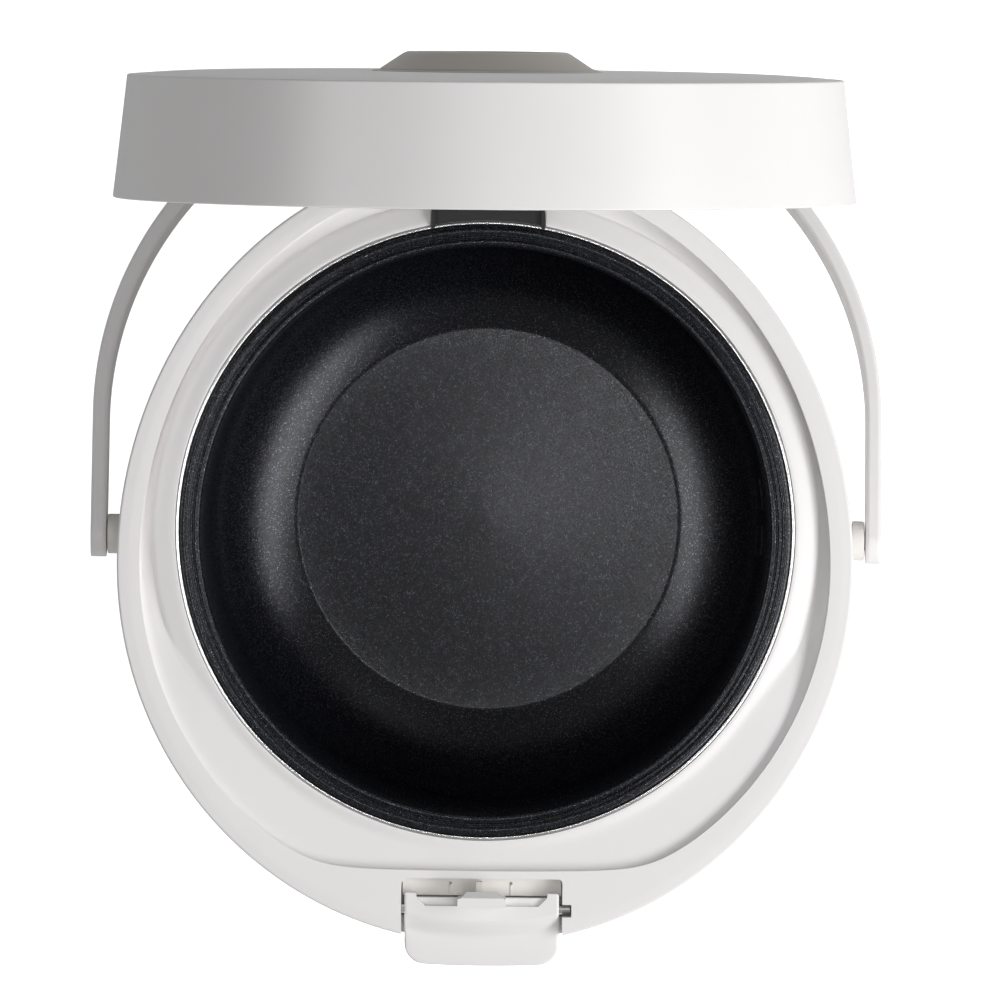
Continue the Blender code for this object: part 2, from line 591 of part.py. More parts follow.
def control_panel(grey, lens, white, green, black, housing):
    high = PANEL_LOW_Z + PANEL_HEIGHT
    panel = front_slab(
        "control_panel", PANEL_HALF_WIDTH, PANEL_LOW_Z, high, -PANEL_PROUD, PANEL_THICKNESS, grey, housing,
    )
    post_y = front_y(19.0 * MM, PANEL_THICKNESS) - 1.0 * MM
    board_front = front_y(0.0) + BUTTON_LENGTH - BUTTON_PROUD + BUTTON_TRAVEL + SWITCH_HEIGHT + 0.8 * MM
    posts = [
        turned(
            f"board_post_{number}", ((2.2 * MM, post_y), (2.2 * MM, board_front - GAP)),
            grey, housing, origin=(x, 0.0, z), axis="Y", sides=10,
        )
        for number, (x, z) in enumerate(
            (x, z) for x in (-19.0 * MM, 19.0 * MM) for z in (PANEL_LOW_Z + 4.0 * MM, high - 4.0 * MM)
        )
    ]
    combine("UNION", panel, *posts)
    window = front_slab(
        "window_opening", WINDOW_HALF_WIDTH + GAP, WINDOW_LOW_Z - GAP, WINDOW_LOW_Z + WINDOW_HEIGHT + GAP,
        -5.0 * MM, PANEL_THICKNESS - 1.0 * MM, grey, housing,
    )
    holes = [
        turned(
            f"button_hole_{side}", ((BUTTON_RADIUS + GAP, -130.0 * MM), (BUTTON_RADIUS + GAP, -95.0 * MM)),
            grey, housing, origin=(x, 0.0, BUTTON_Z), axis="Y", sides=28,
        )
        for side, x in mirrored(BUTTON_X)
    ]
    combine("DIFFERENCE", panel, window, *holes)
    front_slab(
        "display_window", WINDOW_HALF_WIDTH, WINDOW_LOW_Z, WINDOW_LOW_Z + WINDOW_HEIGHT,
        -PANEL_PROUD, PANEL_THICKNESS - 1.0 * MM - GAP, lens, housing,
    )
    block(
        "control_board", (-22.0 * MM, board_front, PANEL_LOW_Z - 1.0 * MM),
        (22.0 * MM, board_front + BOARD_THICKNESS, high + 1.0 * MM), green, housing,
    )
    for name, (side, x) in zip(("cancel", "start"), mirrored(BUTTON_X)):
        face = front_y(x) - BUTTON_PROUD
        back = front_y(0.0) - BUTTON_PROUD + BUTTON_LENGTH
        key = pivot(f"{name}_key", (x, back, BUTTON_Z), housing)
        turned(
            f"{name}_button",
            ((BUTTON_RADIUS - 0.8 * MM, face), (BUTTON_RADIUS, face + 0.8 * MM),
             (BUTTON_RADIUS, back - 3.0 * MM),
             (2.0 * MM, back - 3.0 * MM), (2.0 * MM, back)),
            white, key, origin=(x, 0.0, BUTTON_Z), axis="Y", sides=28,
        )
        half = SWITCH_SIZE / 2
        block(
            f"{name}_switch", (x - half, board_front - GAP - SWITCH_HEIGHT, BUTTON_Z - half),
            (x + half, board_front - GAP, BUTTON_Z + half), black, housing,
        )


def power_inlet(black, steel, housing):
    wide, tall = INLET_WIDTH / 2, INLET_HEIGHT / 2
    face = INLET_FACE_Y + 2.2 * MM
    flange_back = INLET_FACE_Y - 0.9 * MM
    back = face - INLET_DEPTH - INLET_WALL
    edge = INLET_WALL + INLET_FLANGE
    inlet = block(
        "power_inlet", (-wide - edge, flange_back, INLET_Z - tall - edge),
        (wide + edge, face, INLET_Z + tall + edge), black, housing,
    )
    shroud = block(
        "socket_shroud", (-wide - INLET_WALL, back, INLET_Z - tall - INLET_WALL),
        (wide + INLET_WALL, face - 0.5 * MM, INLET_Z + tall + INLET_WALL), black, housing,
    )
    combine("UNION", inlet, shroud)
    cavity = block(
        "socket_cavity", (-wide, face - INLET_DEPTH, INLET_Z - tall),
        (wide, face + 5.0 * MM, INLET_Z + tall),
        black, housing,
    )
    combine("DIFFERENCE", inlet, cavity)
    prongs = {"live": (-7.0, -2.0), "neutral": (7.0, -2.0), "earth": (0.0, 2.0)}
    for name, (x, z) in prongs.items():
        low = Vector((x * MM - 1.0 * MM, back - 5.0 * MM, INLET_Z + z * MM - 2.0 * MM))
        high = Vector((x * MM + 1.0 * MM, back + INLET_WALL + PRONG_LENGTH, INLET_Z + z * MM + 2.0 * MM))
        room = Vector((GAP, GAP, GAP))
        combine("DIFFERENCE", inlet, block(f"prong_slot_{name}", low - room, high + room, black, housing))
        block(f"{name}_prong", low, high, steel, housing)


# ---- handle -------------------------------------------------------------------------
def handle(white, grey, housing, swing):
    half_straight = HANDLE_CENTRE_X - HANDLE_BEND_RADIUS
    end = HANDLE_WIDTH / 2
    stations = []
    for step in range(5):
        angle = pi / 2 * step / 4
        stations.append((HANDLE_CENTRE_X, -end * cos(angle), 0.0, max(end * sin(angle), 1.2 * MM)))
    bend_steps = 14
    for step in range(bend_steps + 1):
        angle = pi / 2 * step / bend_steps
        x = half_straight + HANDLE_BEND_RADIUS * cos(angle)
        y = HANDLE_ARM + HANDLE_BEND_RADIUS * sin(angle)
        stations.append((x, y, angle, end))
    stations += [(-x, y, pi - angle, width) for x, y, angle, width in reversed(stations)]
    rings = []
    for x, y, angle, width in stations:
        centre = Vector((x, HANDLE_PIVOT_Y + y, HANDLE_PIVOT_Z))
        outward = Vector((cos(angle), sin(angle), 0.0))
        thick, chamfer = HANDLE_THICKNESS / 2, min(HANDLE_CHAMFER, 0.5 * width)
        corners = (
            (thick, width - chamfer), (thick - chamfer, width),
            (chamfer - thick, width), (-thick, width - chamfer),
            (-thick, chamfer - width), (chamfer - thick, -width),
            (thick - chamfer, -width), (thick, chamfer - width),
        )
        rings.append([centre + outward * out + Vector((0.0, 0.0, up)) for out, up in corners])
    bow = ring_body("handle_bow", rings, white, swing)
    bore = turned(
        "handle_bores", ((PIVOT_RADIUS + GAP, -1.1 * HANDLE_CENTRE_X),
         (PIVOT_RADIUS + GAP, 1.1 * HANDLE_CENTRE_X)),
        white, swing, origin=(0.0, HANDLE_PIVOT_Y, HANDLE_PIVOT_Z), axis="X", sides=20,
    )
    combine("DIFFERENCE", bow, bore)
    inner_face = HANDLE_CENTRE_X - HANDLE_THICKNESS / 2
    outer_face = HANDLE_CENTRE_X + HANDLE_THICKNESS / 2
    for side, sign in mirrored(1.0):
        profile = (
            (SHANK_RADIUS, sign * (BODY_HALF_WIDTH - 4.5 * MM)),
            (SHANK_RADIUS, sign * (BODY_HALF_WIDTH + GAP / 3)),
            (BOSS_RADIUS, sign * (BODY_HALF_WIDTH + GAP / 3)), (BOSS_RADIUS, sign * (inner_face - GAP)),
            (PIVOT_RADIUS, sign * (inner_face - GAP)), (PIVOT_RADIUS, sign * (outer_face - GAP)),
        )
        turned(
            f"handle_pivot_{side}", profile, grey, housing,
            origin=(0.0, HANDLE_PIVOT_Y, HANDLE_PIVOT_Z), axis="X", sides=20,
        )


# ---- latch --------------------------------------------------------------------------
def latch(white, grey, steel, spring_steel, housing, press):
    barrel_room = 0.4 * MM
    half = LATCH_HALF_WIDTH - 0.1 * MM
    ear_in = LATCH_HALF_WIDTH - LATCH_EAR_WIDTH
    slope_in = ear_in - (LATCH_EAR_Y - 1.0 * MM - LATCH_EDGE_Y)
    stations = [-half, 1.5 * MM - half, 3.0 * MM - half, -ear_in, -slope_in, -0.5 * slope_in, 0.0]
    stations += [-x for x in reversed(stations[:-1])]
    rings = []
    for x in stations:
        if abs(x) >= ear_in:
            back = LATCH_EAR_Y if abs(x) > ear_in else LATCH_EAR_Y - 1.0 * MM
        else:
            back = LATCH_EDGE_Y
        bow = front_y(x) - front_y(0.0)
        past = max(0.0, abs(x) - (half - LATCH_TIP_CORNER))
        tip = LATCH_TIP_Y + 0.3 * bow + LATCH_TIP_CORNER - sqrt(max(0.0, LATCH_TIP_CORNER ** 2 - past ** 2))
        top, plate, drop = LATCH_TOP_Z, LATCH_PLATE, LATCH_TAB_DROP
        step_y = front_y(0.0, LID_INSET) + bow
        upper = (
            (back, top), (step_y + 2.6 * MM, top), (step_y + 1.2 * MM, top - 0.2 * drop),
            (step_y - 0.4 * MM, top - 0.75 * drop), (step_y - 2.2 * MM, top - drop),
            (tip + 0.8 * MM, top - drop - 0.3 * MM), (tip, top - drop - 0.8 * MM),
        )
        lower = (
            (tip, top - drop - plate + 0.6 * MM), (tip + 0.8 * MM, top - drop - plate),
            (step_y - 2.2 * MM, top - drop - plate + 0.2 * MM),
            (step_y + 0.8 * MM, top - 0.75 * drop - plate),
            (step_y + 3.0 * MM, top - plate), (back, top - plate),
        )
        rings.append([Vector((x, y, z)) for y, z in upper + lower])
    lever = ring_body("latch_lever", rings, white, press)
    barrel_half = LATCH_HALF_WIDTH - barrel_room
    barrel = turned(
        "lever_barrel", ((LATCH_BARREL_RADIUS, -barrel_half), (LATCH_BARREL_RADIUS, barrel_half)),
        white, press, origin=(0.0, LATCH_PIN_Y, LATCH_PIN_Z), axis="X", sides=20,
    )
    web_half = LATCH_HALF_WIDTH - LATCH_EAR_WIDTH
    web = block(
        "lever_web", (-web_half, LATCH_PIN_Y - 1.8 * MM, LATCH_PIN_Z),
        (web_half, LATCH_EDGE_Y + 0.6 * MM, LATCH_TOP_Z - 1.0 * MM), white, press,
    )
    hook_z = TOP_Z + CATCH_RISE + CATCH_THICKNESS + GAP
    ledge_z = LATCH_TOP_Z - 0.8 * MM
    ledge = block(
        "lever_ledge", (-slope_in, LATCH_EDGE_Y - 0.5 * MM, LATCH_PIN_Z - 1.0 * MM),
        (slope_in, CLAW_BACK_Y - 0.7 * MM, ledge_z), white, press,
    )
    arm = prism(
        "lever_claw",
        ((LATCH_EDGE_Y, LATCH_PIN_Z), (CLAW_BACK_Y, LATCH_PIN_Z), (CLAW_BACK_Y, hook_z),
         (CLAW_TIP_Y, hook_z),
         (CLAW_TIP_Y, hook_z + 0.5 * MM), (CLAW_BACK_Y, hook_z + HOOK_THICKNESS),
         (LATCH_EDGE_Y, hook_z + HOOK_THICKNESS - 0.8 * MM)),
        -CLAW_HALF_WIDTH, CLAW_HALF_WIDTH, white, press, axis="X",
    )
    combine("UNION", lever, barrel, web, ledge, arm)
    bore = turned(
        "lever_bore", ((LATCH_PIN_RADIUS + GAP, -30.0 * MM), (LATCH_PIN_RADIUS + GAP, 30.0 * MM)),
        white, press, origin=(0.0, LATCH_PIN_Y, LATCH_PIN_Z), axis="X", sides=16,
    )
    spring_low, spring_high = 8.0 * MM, 14.0 * MM
    room_radius = LATCH_BARREL_RADIUS + GAP
    spring_room = turned(
        "spring_room", ((room_radius, spring_low), (room_radius, spring_high)),
        white, press, origin=(0.0, LATCH_PIN_Y, LATCH_PIN_Z), axis="X", sides=20,
    )
    combine("DIFFERENCE", lever, bore, spring_room)
    reach = LATCH_HALF_WIDTH + 2.9 * MM
    turned(
        "latch_pin", ((LATCH_PIN_RADIUS, -reach), (LATCH_PIN_RADIUS, reach)), steel, housing,
        origin=(0.0, LATCH_PIN_Y, LATCH_PIN_Z), axis="X", sides=16,
    )
    wire = 0.45 * MM
    coil(
        "latch_spring", LATCH_PIN_RADIUS + GAP + wire, wire, 4, spring_low + 2 * wire,
        spring_high - 2 * wire,
        spring_steel, housing, (0.0, LATCH_PIN_Y, LATCH_PIN_Z), "X", steps=8,
    )
    floor_z = LATCH_PIN_Z - 3.2 * MM - GAP
    notch_x = LATCH_HALF_WIDTH + LATCH_SIDE_GAP
    flange_x = notch_x + 3.0 * MM
    skirt_y = front_y(flange_x, WALL + GAP + SKIRT_WALL)
    tray = block(
        "latch_tray", (-flange_x, max(POCKET_BACK_Y - 9.2 * MM, skirt_y + GAP), floor_z - 1.2 * MM),
        (flange_x, POCKET_BACK_Y - GAP, floor_z), grey, housing,
    )
    back = block(
        "tray_back", (GAP - notch_x, POCKET_BACK_Y - 1.4 * MM, floor_z - 0.6 * MM),
        (notch_x - GAP, POCKET_BACK_Y - GAP, TOP_Z - 0.7 * MM), grey, housing,
    )
    rib = block(
        "tray_rib", (-0.8 * MM, POCKET_BACK_Y - 3.0 * MM, floor_z - 0.6 * MM),
        (0.8 * MM, POCKET_BACK_Y - 1.0 * MM, TOP_Z - 1.2 * MM), grey, housing,
    )
    combine("UNION", tray, back, rib)


# ---- pot ----------------------------------------------------------------------------
def inner_pot(coating, lift):
    rim = POT_RIM_Z
    inner, wall, floor = POT_INNER_RADIUS, POT_WALL, POT_FLOOR_Z
    fillet = inner - POT_FLOOR_RADIUS
    bend = [pi / 2 * step / 7 for step in range(8)]
    inside = [
        (POT_FLANGE_RADIUS, POT_FLANGE_Z), (POT_FLANGE_RADIUS, rim - 0.6 * MM),
        (POT_FLANGE_RADIUS - 0.8 * MM, rim),
        (inner + 3.3 * MM, rim), (inner + 2.9 * MM, rim - 0.6 * MM), (inner + 2.4 * MM, rim),
        (inner + 1.1 * MM, rim),
        (inner + 0.3 * MM, rim - 0.8 * MM), (inner, rim - 6.0 * MM),
    ]
    centre_z = floor + wall + fillet
    inside += [(POT_FLOOR_RADIUS + fillet * cos(angle), centre_z - fillet * sin(angle)) for angle in bend]
    reach = fillet + wall
    outside = [(POT_FLOOR_RADIUS + reach * cos(angle), centre_z - reach * sin(angle))
        for angle in reversed(bend)]
    outside.append((inner + wall, POT_FLANGE_Z))
    bm = bmesh.new()
    outer_start = len(inside)
    rows = []
    for radius, z in inside + outside:
        angles = [2 * pi * side / ROUND for side in range(ROUND)]
        rows.append([bm.verts.new((radius * cos(angle), radius * sin(angle), z)) for angle in angles])
    pairs = list(zip(rows[:outer_start], rows[1:outer_start]))
    pairs += list(zip(rows[outer_start:], rows[outer_start + 1:])) + [(rows[-1], rows[0])]
    for lower, upper in pairs:
        for here in range(ROUND):
            following = (here + 1) % ROUND
            bm.faces.new((lower[here], lower[following], upper[following], upper[here]))
    bm.faces.new(rows[outer_start - 1])
    bm.faces.new(rows[outer_start])
    return place("inner_pot", bm, coating, lift)


# ---- hinge --------------------------------------------------------------------------
def on_hinge(name, radius, low, high, material, carrier, sides=20):
    """A round bar on the hinge's axis."""
    profile = ((radius, low), (radius, high))
    return turned(name, profile, material, carrier, origin=(0.0, HINGE_Y, HINGE_Z), axis="X", sides=sides)


def hinge(black, steel, spring_steel, housing, lid):
    outer = HINGE_HALF_WIDTH
    split = outer - KNUCKLE_WIDTH
    bottom = HINGE_SEAT_Z + GAP
    top = TOP_Z - 0.1 * MM
    bracket = block(
        "hinge_bracket", (-outer, POT_INNER_RADIUS, bottom), (outer, HINGE_Y + KNUCKLE_RADIUS, top),
        black, housing,
    )
    rises = []
    for side, sign in mirrored(1.0):
        low, high = sorted((sign * split, sign * outer))
        rises.append(on_hinge(f"bracket_knuckle_{side}", KNUCKLE_RADIUS, low, high, black, housing))
        rises.append(block(
            f"bracket_cheek_{side}", (low, HINGE_Y - KNUCKLE_RADIUS, top - 1.0 * MM),
            (high, HINGE_Y + KNUCKLE_RADIUS, HINGE_Z), black, housing,
        ))
    combine("UNION", bracket, *rises)
    pot_clear = turned(
        "pot_clearance", ((HOLE_RADIUS, POT_FLOOR_Z), (HOLE_RADIUS, LID_TOP_Z)), black, housing, sides=ROUND,
    )
    lip = block(
        "bracket_lip_step", (-outer + 1.0 * MM, POT_INNER_RADIUS, top - 1.2 * MM),
        (outer - 1.0 * MM, HOLE_RADIUS + 3.2 * MM, LID_TOP_Z), black, housing,
    )
    pin_radius = HINGE_PIN_RADIUS + GAP
    bore = on_hinge("bracket_bore", pin_radius, -2.0 * outer, 2.0 * outer, black, housing, sides=14)
    combine("DIFFERENCE", bracket, pot_clear, lip, bore)
    pin_end = outer + 0.2 * MM
    on_hinge("hinge_pin", HINGE_PIN_RADIUS, -pin_end, pin_end, steel, housing, sides=14)
    wire = 0.55 * MM
    spring_end = split - GAP - KNUCKLE_WIDTH - GAP - wire
    coil(
        "hinge_spring", HINGE_PIN_RADIUS + GAP + wire, wire, 6, -spring_end, spring_end,
        spring_steel, housing,
        (0.0, HINGE_Y, HINGE_Z), "X", steps=8,
    )
    arm_z = LINER_TOP_Z + GAP
    arm_top = arm_z + 2.2 * MM
    arm = block(
        "hinge_arm", (-split + GAP, HINGE_Y - 19.0 * MM, arm_z),
        (split - GAP, HINGE_Y - KNUCKLE_RADIUS - 0.6 * MM, arm_top), black, lid,
    )
    eyes = []
    for side, sign in mirrored(1.0):
        low, high = sorted((sign * (split - GAP), sign * (split - GAP - KNUCKLE_WIDTH)))
        eyes.append(on_hinge(f"arm_eye_{side}", KNUCKLE_RADIUS, low, high, black, lid))
        web_y = HINGE_Y - KNUCKLE_RADIUS - 1.2 * MM
        eyes.append(block(f"arm_web_{side}", (low, web_y, HINGE_Z), (high, HINGE_Y, arm_top), black, lid))
    combine("UNION", arm, *eyes)
    arm_bore = on_hinge("arm_bore", pin_radius, -2.0 * outer, 2.0 * outer, black, lid, sides=14)
    combine("DIFFERENCE", arm, arm_bore)


# ---- lid ----------------------------------------------------------------------------
def lid_ring(inset, z):
    return body_ring(LID_INSET + inset, z)


def lid_cover(white, lid):
    rise = LID_TOP_Z - LID_RIM_Z
    crown = LID_TOP_Z + LID_CROWN
    sill = TOP_PANEL_INSET - LID_INSET
    rings = [
        lid_ring(WALL, LID_RIM_Z), lid_ring(0.0, LID_RIM_Z),
        lid_ring(0.97 * LID_TAPER, LID_RIM_Z + 0.975 * rise),
        lid_ring(LID_TAPER + 0.7 * MM, LID_TOP_Z), lid_ring(0.5 * sill, LID_TOP_Z + 0.8 * LID_CROWN),
        lid_ring(sill, crown), lid_ring(sill, PANEL_SEAT_Z),
    ]
    inside = [
        lid_ring(sill - WALL, PANEL_SEAT_Z - WALL), lid_ring(LID_TAPER + WALL + 1.0 * MM, LID_TOP_Z - WALL),
        lid_ring(LID_TAPER + WALL, LID_TOP_Z - WALL - 1.5 * MM),
    ]
    bm = bmesh.new()
    outer_rows = [[bm.verts.new(point) for point in ring] for ring in rings]
    inner_rows = [[bm.verts.new(point) for point in ring] for ring in inside]
    pairs = list(zip(outer_rows, outer_rows[1:])) + list(zip(inner_rows, inner_rows[1:]))
    pairs.append((inner_rows[-1], outer_rows[0]))
    for lower, upper in pairs:
        for here in range(OUTLINE_POINTS):
            following = (here + 1) % OUTLINE_POINTS
            bm.faces.new((lower[here], lower[following], upper[following], upper[here]))
    bm.faces.new(outer_rows[-1])
    bm.faces.new(inner_rows[0])
    cover = place("lid_cover", bm, white, lid)
    clear = HINGE_HALF_WIDTH + 0.6 * MM
    notch = block(
        "lid_hinge_notch", (-clear, HINGE_Y - 5.0 * MM, TOP_Z - 5.0 * MM),
        (clear, HINGE_Y + 10.0 * MM, HINGE_Z + KNUCKLE_RADIUS + 0.8 * MM), white, lid,
    )
    hole_radius = VENT_STEM_RADIUS + 0.5 * MM
    vent_hole = turned(
        "cover_vent_hole", ((hole_radius, LID_RIM_Z + 10.0 * MM), (hole_radius, crown + 20.0 * MM)),
        white, lid, origin=(0.0, VENT_Y, 0.0), sides=28,
    )
    return combine("DIFFERENCE", cover, notch, vent_hole)


def lid_top_panel(white, lid):
    low = PANEL_SEAT_Z + GAP
    sill = TOP_PANEL_INSET - LID_INSET
    rings = [
        lid_ring(sill + GAP, low), lid_ring(sill + GAP, PANEL_TOP_Z - 0.5 * MM),
        lid_ring(sill + GAP + 0.5 * MM, PANEL_TOP_Z),
    ]
    panel = ring_body("lid_top_panel", rings, white, lid)
    hole_radius = VENT_STEM_RADIUS + 0.5 * MM
    hole = turned(
        "panel_vent_hole", ((hole_radius, low - 5.0 * MM), (hole_radius, low + 10.0 * MM)),
        white, lid, origin=(0.0, VENT_Y, 0.0), sides=28,
    )
    well_radius, well_z = VENT_BASE_RADIUS + GAP, PANEL_TOP_Z - VENT_SINK
    well = turned(
        "vent_well", ((well_radius, well_z), (well_radius, PANEL_TOP_Z + 5.0 * MM)), white, lid,
        origin=(0.0, VENT_Y, 0.0), sides=40,
    )
    return combine("DIFFERENCE", panel, hole, well)


def vent_cap(grey, cap):
    seat = VENT_SEAT_Z
    profile = (
        (VENT_STEM_RADIUS - 1.6 * MM, seat - VENT_STEM_LENGTH), (VENT_STEM_RADIUS, seat - VENT_STEM_LENGTH),
        (VENT_STEM_RADIUS, seat), (VENT_BASE_RADIUS, seat), (VENT_BASE_RADIUS, seat + 1.0 * MM),
        (VENT_BASE_RADIUS - 1.6 * MM, seat + 1.4 * MM),
        (VENT_TOP_RADIUS + 0.5 * MM, seat + VENT_HEIGHT - 0.5 * MM), (VENT_TOP_RADIUS, seat + VENT_HEIGHT),
        (VENT_TOP_RADIUS - 7.0 * MM, seat + VENT_HEIGHT),
        (VENT_TOP_RADIUS - 8.0 * MM, seat + VENT_HEIGHT - 1.2 * MM),
        (VENT_STEM_RADIUS - 1.6 * MM, seat + VENT_HEIGHT - 1.2 * MM),
    )
    return turned("vent_cap", profile, grey, cap, origin=(0.0, VENT_Y, 0.0), sides=40, loop=True)


def lid_liner(white, lid):
    dish = GASKET_Z + GASKET_HEIGHT + GAP
    rings = [
        pot_ring(GASKET_RADIUS + 0.5 * MM, dish), pot_ring(GASKET_RADIUS + 0.8 * MM, LINER_Z),
        lid_ring(WALL + GAP, LINER_Z), lid_ring(WALL + GAP + 0.8 * MM, LINER_TOP_Z),
    ]
    liner = ring_body("lid_liner", rings, white, lid)
    claw_opening = block(
        "claw_opening", (-CLAW_HALF_WIDTH - 2.2 * MM, LATCH_EDGE_Y - 1.6 * MM, TOP_Z - 5.0 * MM),
        (CLAW_HALF_WIDTH + 2.2 * MM, CLAW_TIP_Y + 3.2 * MM, LID_TOP_Z), white, lid,
    )
    catch_z = TOP_Z + CATCH_RISE
    catch_half = CLAW_HALF_WIDTH + 4.0 * MM
    catch_back = CLAW_BACK_Y + GAP + CATCH_DEPTH
    slot = block(
        "catch_slot", (-catch_half - GAP, CLAW_BACK_Y, catch_z - GAP),
        (catch_half + GAP, catch_back + GAP, catch_z + CATCH_THICKNESS + GAP), white, lid,
    )
    clear = HINGE_HALF_WIDTH + 0.6 * MM
    hinge_gap = block(
        "liner_hinge_gap", (-clear, HINGE_Y - KNUCKLE_RADIUS - 1.6 * MM, TOP_Z - 5.0 * MM),
        (clear, HINGE_Y + 20.0 * MM, LID_TOP_Z), white, lid,
    )
    hole_radius = VENT_STEM_RADIUS - 1.0 * MM
    steam = turned(
        "liner_steam_hole", ((hole_radius, TOP_Z), (hole_radius, LID_TOP_Z)), white, lid,
        origin=(0.0, VENT_Y, 0.0), sides=24,
    )
    combine("DIFFERENCE", liner, claw_opening, slot, hinge_gap, steam)


def lid_catch(steel, lid):
    catch_z = TOP_Z + CATCH_RISE
    catch_half = CLAW_HALF_WIDTH + 4.0 * MM
    front = CLAW_BACK_Y + GAP
    return block(
        "lid_catch", (-catch_half, front, catch_z), (catch_half, front + CATCH_DEPTH,
         catch_z + CATCH_THICKNESS),
        steel, lid,
    )


def steam_duct(rubber, lid):
    low = LINER_TOP_Z + GAP
    high = VENT_SEAT_Z - VENT_STEM_LENGTH - GAP
    inner, outer = VENT_STEM_RADIUS - 1.6 * MM, VENT_STEM_RADIUS + DUCT_WALL
    foot = low + 1.5 * MM
    profile = (
        (inner, low), (outer + 3.0 * MM, low), (outer + 3.0 * MM, foot), (outer - 1.0 * MM, foot),
        (outer - 1.0 * MM, high), (inner, high),
    )
    return turned("steam_duct", profile, rubber, lid, origin=(0.0, VENT_Y, 0.0), sides=24, loop=True)


def inner_lid(aluminium, rubber, lid):
    low = GASKET_Z
    inner = GASKET_RADIUS - GASKET_WIDTH
    groove_z = low + 1.2 * MM
    gasket = (
        (GASKET_RADIUS - 1.6 * MM, low), (GASKET_RADIUS, low + 1.0 * MM),
        (GASKET_RADIUS, low + GASKET_HEIGHT),
        (inner + 0.6 * MM, low + GASKET_HEIGHT), (inner + 0.6 * MM, groove_z + 1.5 * MM),
        (INNER_LID_RADIUS + GAP, groove_z + 1.5 * MM), (INNER_LID_RADIUS + GAP, groove_z),
        (inner + 0.6 * MM, groove_z), (inner + 1.2 * MM, low + 0.4 * MM),
    )
    turned("lid_gasket", gasket, rubber, lid, sides=ROUND, loop=True)
    sheet = 0.9 * MM
    plate_z = groove_z + GAP
    disc = ((INNER_LID_RADIUS, plate_z), (INNER_LID_RADIUS, plate_z + sheet))
    plate = turned("inner_lid", disc, aluminium, lid, sides=ROUND)
    holes = []
    for number in range(7):
        angle = 2 * pi * number / 6
        ring = 5.0 * MM if number else 0.0
        centre = (ring * cos(angle), VENT_Y + ring * sin(angle), 0.0)
        drill = ((1.4 * MM, plate_z - 5.0 * MM), (1.4 * MM, plate_z + 5.0 * MM))
        holes.append(turned(f"steam_hole_{number}", drill, aluminium, lid, origin=centre, sides=10))
    return combine("DIFFERENCE", plate, *holes)


def centre_on_origin(cooker):
    """Moves the cooker so that its box stands centred on the origin."""
    bpy.context.view_layer.update()
    graph = bpy.context.evaluated_depsgraph_get()
    reach = []
    for body in bpy.context.scene.objects:
        if body.type == "MESH" and not body.hide_render:
            solid = body.evaluated_get(graph)
            reach += [(solid.matrix_world @ vertex.co).y for vertex in solid.data.vertices]
    cooker.location.y = -0.5 * (min(reach) + max(reach))
    bpy.context.view_layer.update()


def main():
    for leftover in list(bpy.data.objects):
        bpy.data.objects.remove(leftover, do_unlink=True)
    white = finish("ivory_plastic", (0.84, 0.83, 0.80), 0.38)
    grey = finish("grey_plastic", (0.62, 0.61, 0.58), 0.45)
    black = finish("black_plastic", (0.03, 0.03, 0.035), 0.4)
    rubber = finish("silicone", (0.72, 0.72, 0.70), 0.6)
    dark_rubber = finish("dark_rubber", (0.08, 0.08, 0.085), 0.8)
    coating = finish("nonstick_coating", (0.035, 0.038, 0.048), 0.35, 0.3)
    steel = finish("stainless_steel", (0.72, 0.72, 0.72), 0.25, 1.0)
    spring_steel = finish("spring_steel", (0.5, 0.5, 0.5), 0.3, 1.0)
    aluminium = finish("cast_aluminium", (0.66, 0.67, 0.68), 0.4, 1.0)
    green = finish("circuit_board", (0.05, 0.22, 0.10), 0.5)
    lens = finish("display_lens", (0.02, 0.02, 0.025), 0.1)

    cooker = pivot("cooker", (0.0, 0.0, 0.0))
    lid = pivot("lid_axis", (0.0, HINGE_Y, HINGE_Z), cooker)
    swing = pivot("handle_axis", (0.0, HANDLE_PIVOT_Y, HANDLE_PIVOT_Z), cooker)
    press = pivot("latch_axis", (0.0, LATCH_PIN_Y, LATCH_PIN_Z), cooker)

    outer_shell(white, cooker)
    top_deck(white, cooker)
    base_cover(grey, cooker)
    feet(dark_rubber, cooker)
    heat_bucket(steel, cooker)
    heater(aluminium, steel, spring_steel, black, cooker)
    electronics(green, black, cooker)
    control_panel(grey, lens, white, green, black, cooker)
    power_inlet(black, steel, cooker)
    handle(white, grey, cooker, swing)
    latch(white, grey, steel, spring_steel, cooker, press)
    inner_pot(coating, cooker)
    hinge(black, steel, spring_steel, cooker, lid)
    lid_cover(white, lid)
    lid_top_panel(white, lid)
    vent_cap(grey, lid)
    lid_liner(white, lid)
    lid_catch(steel, lid)
    steam_duct(rubber, lid)
    inner_lid(aluminium, rubber, lid)

    lid.rotation_euler.x = -radians(LID_OPEN_DEG)
    swing.rotation_euler.x = -radians(HANDLE_DROOP_DEG)
    centre_on_origin(cooker)


main()
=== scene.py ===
"""Looks of the portable rice cooker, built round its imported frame."""

import json
from math import atan2, cos, pi, radians, sin, sqrt

import bmesh
import bpy
from mathutils import Matrix, Vector


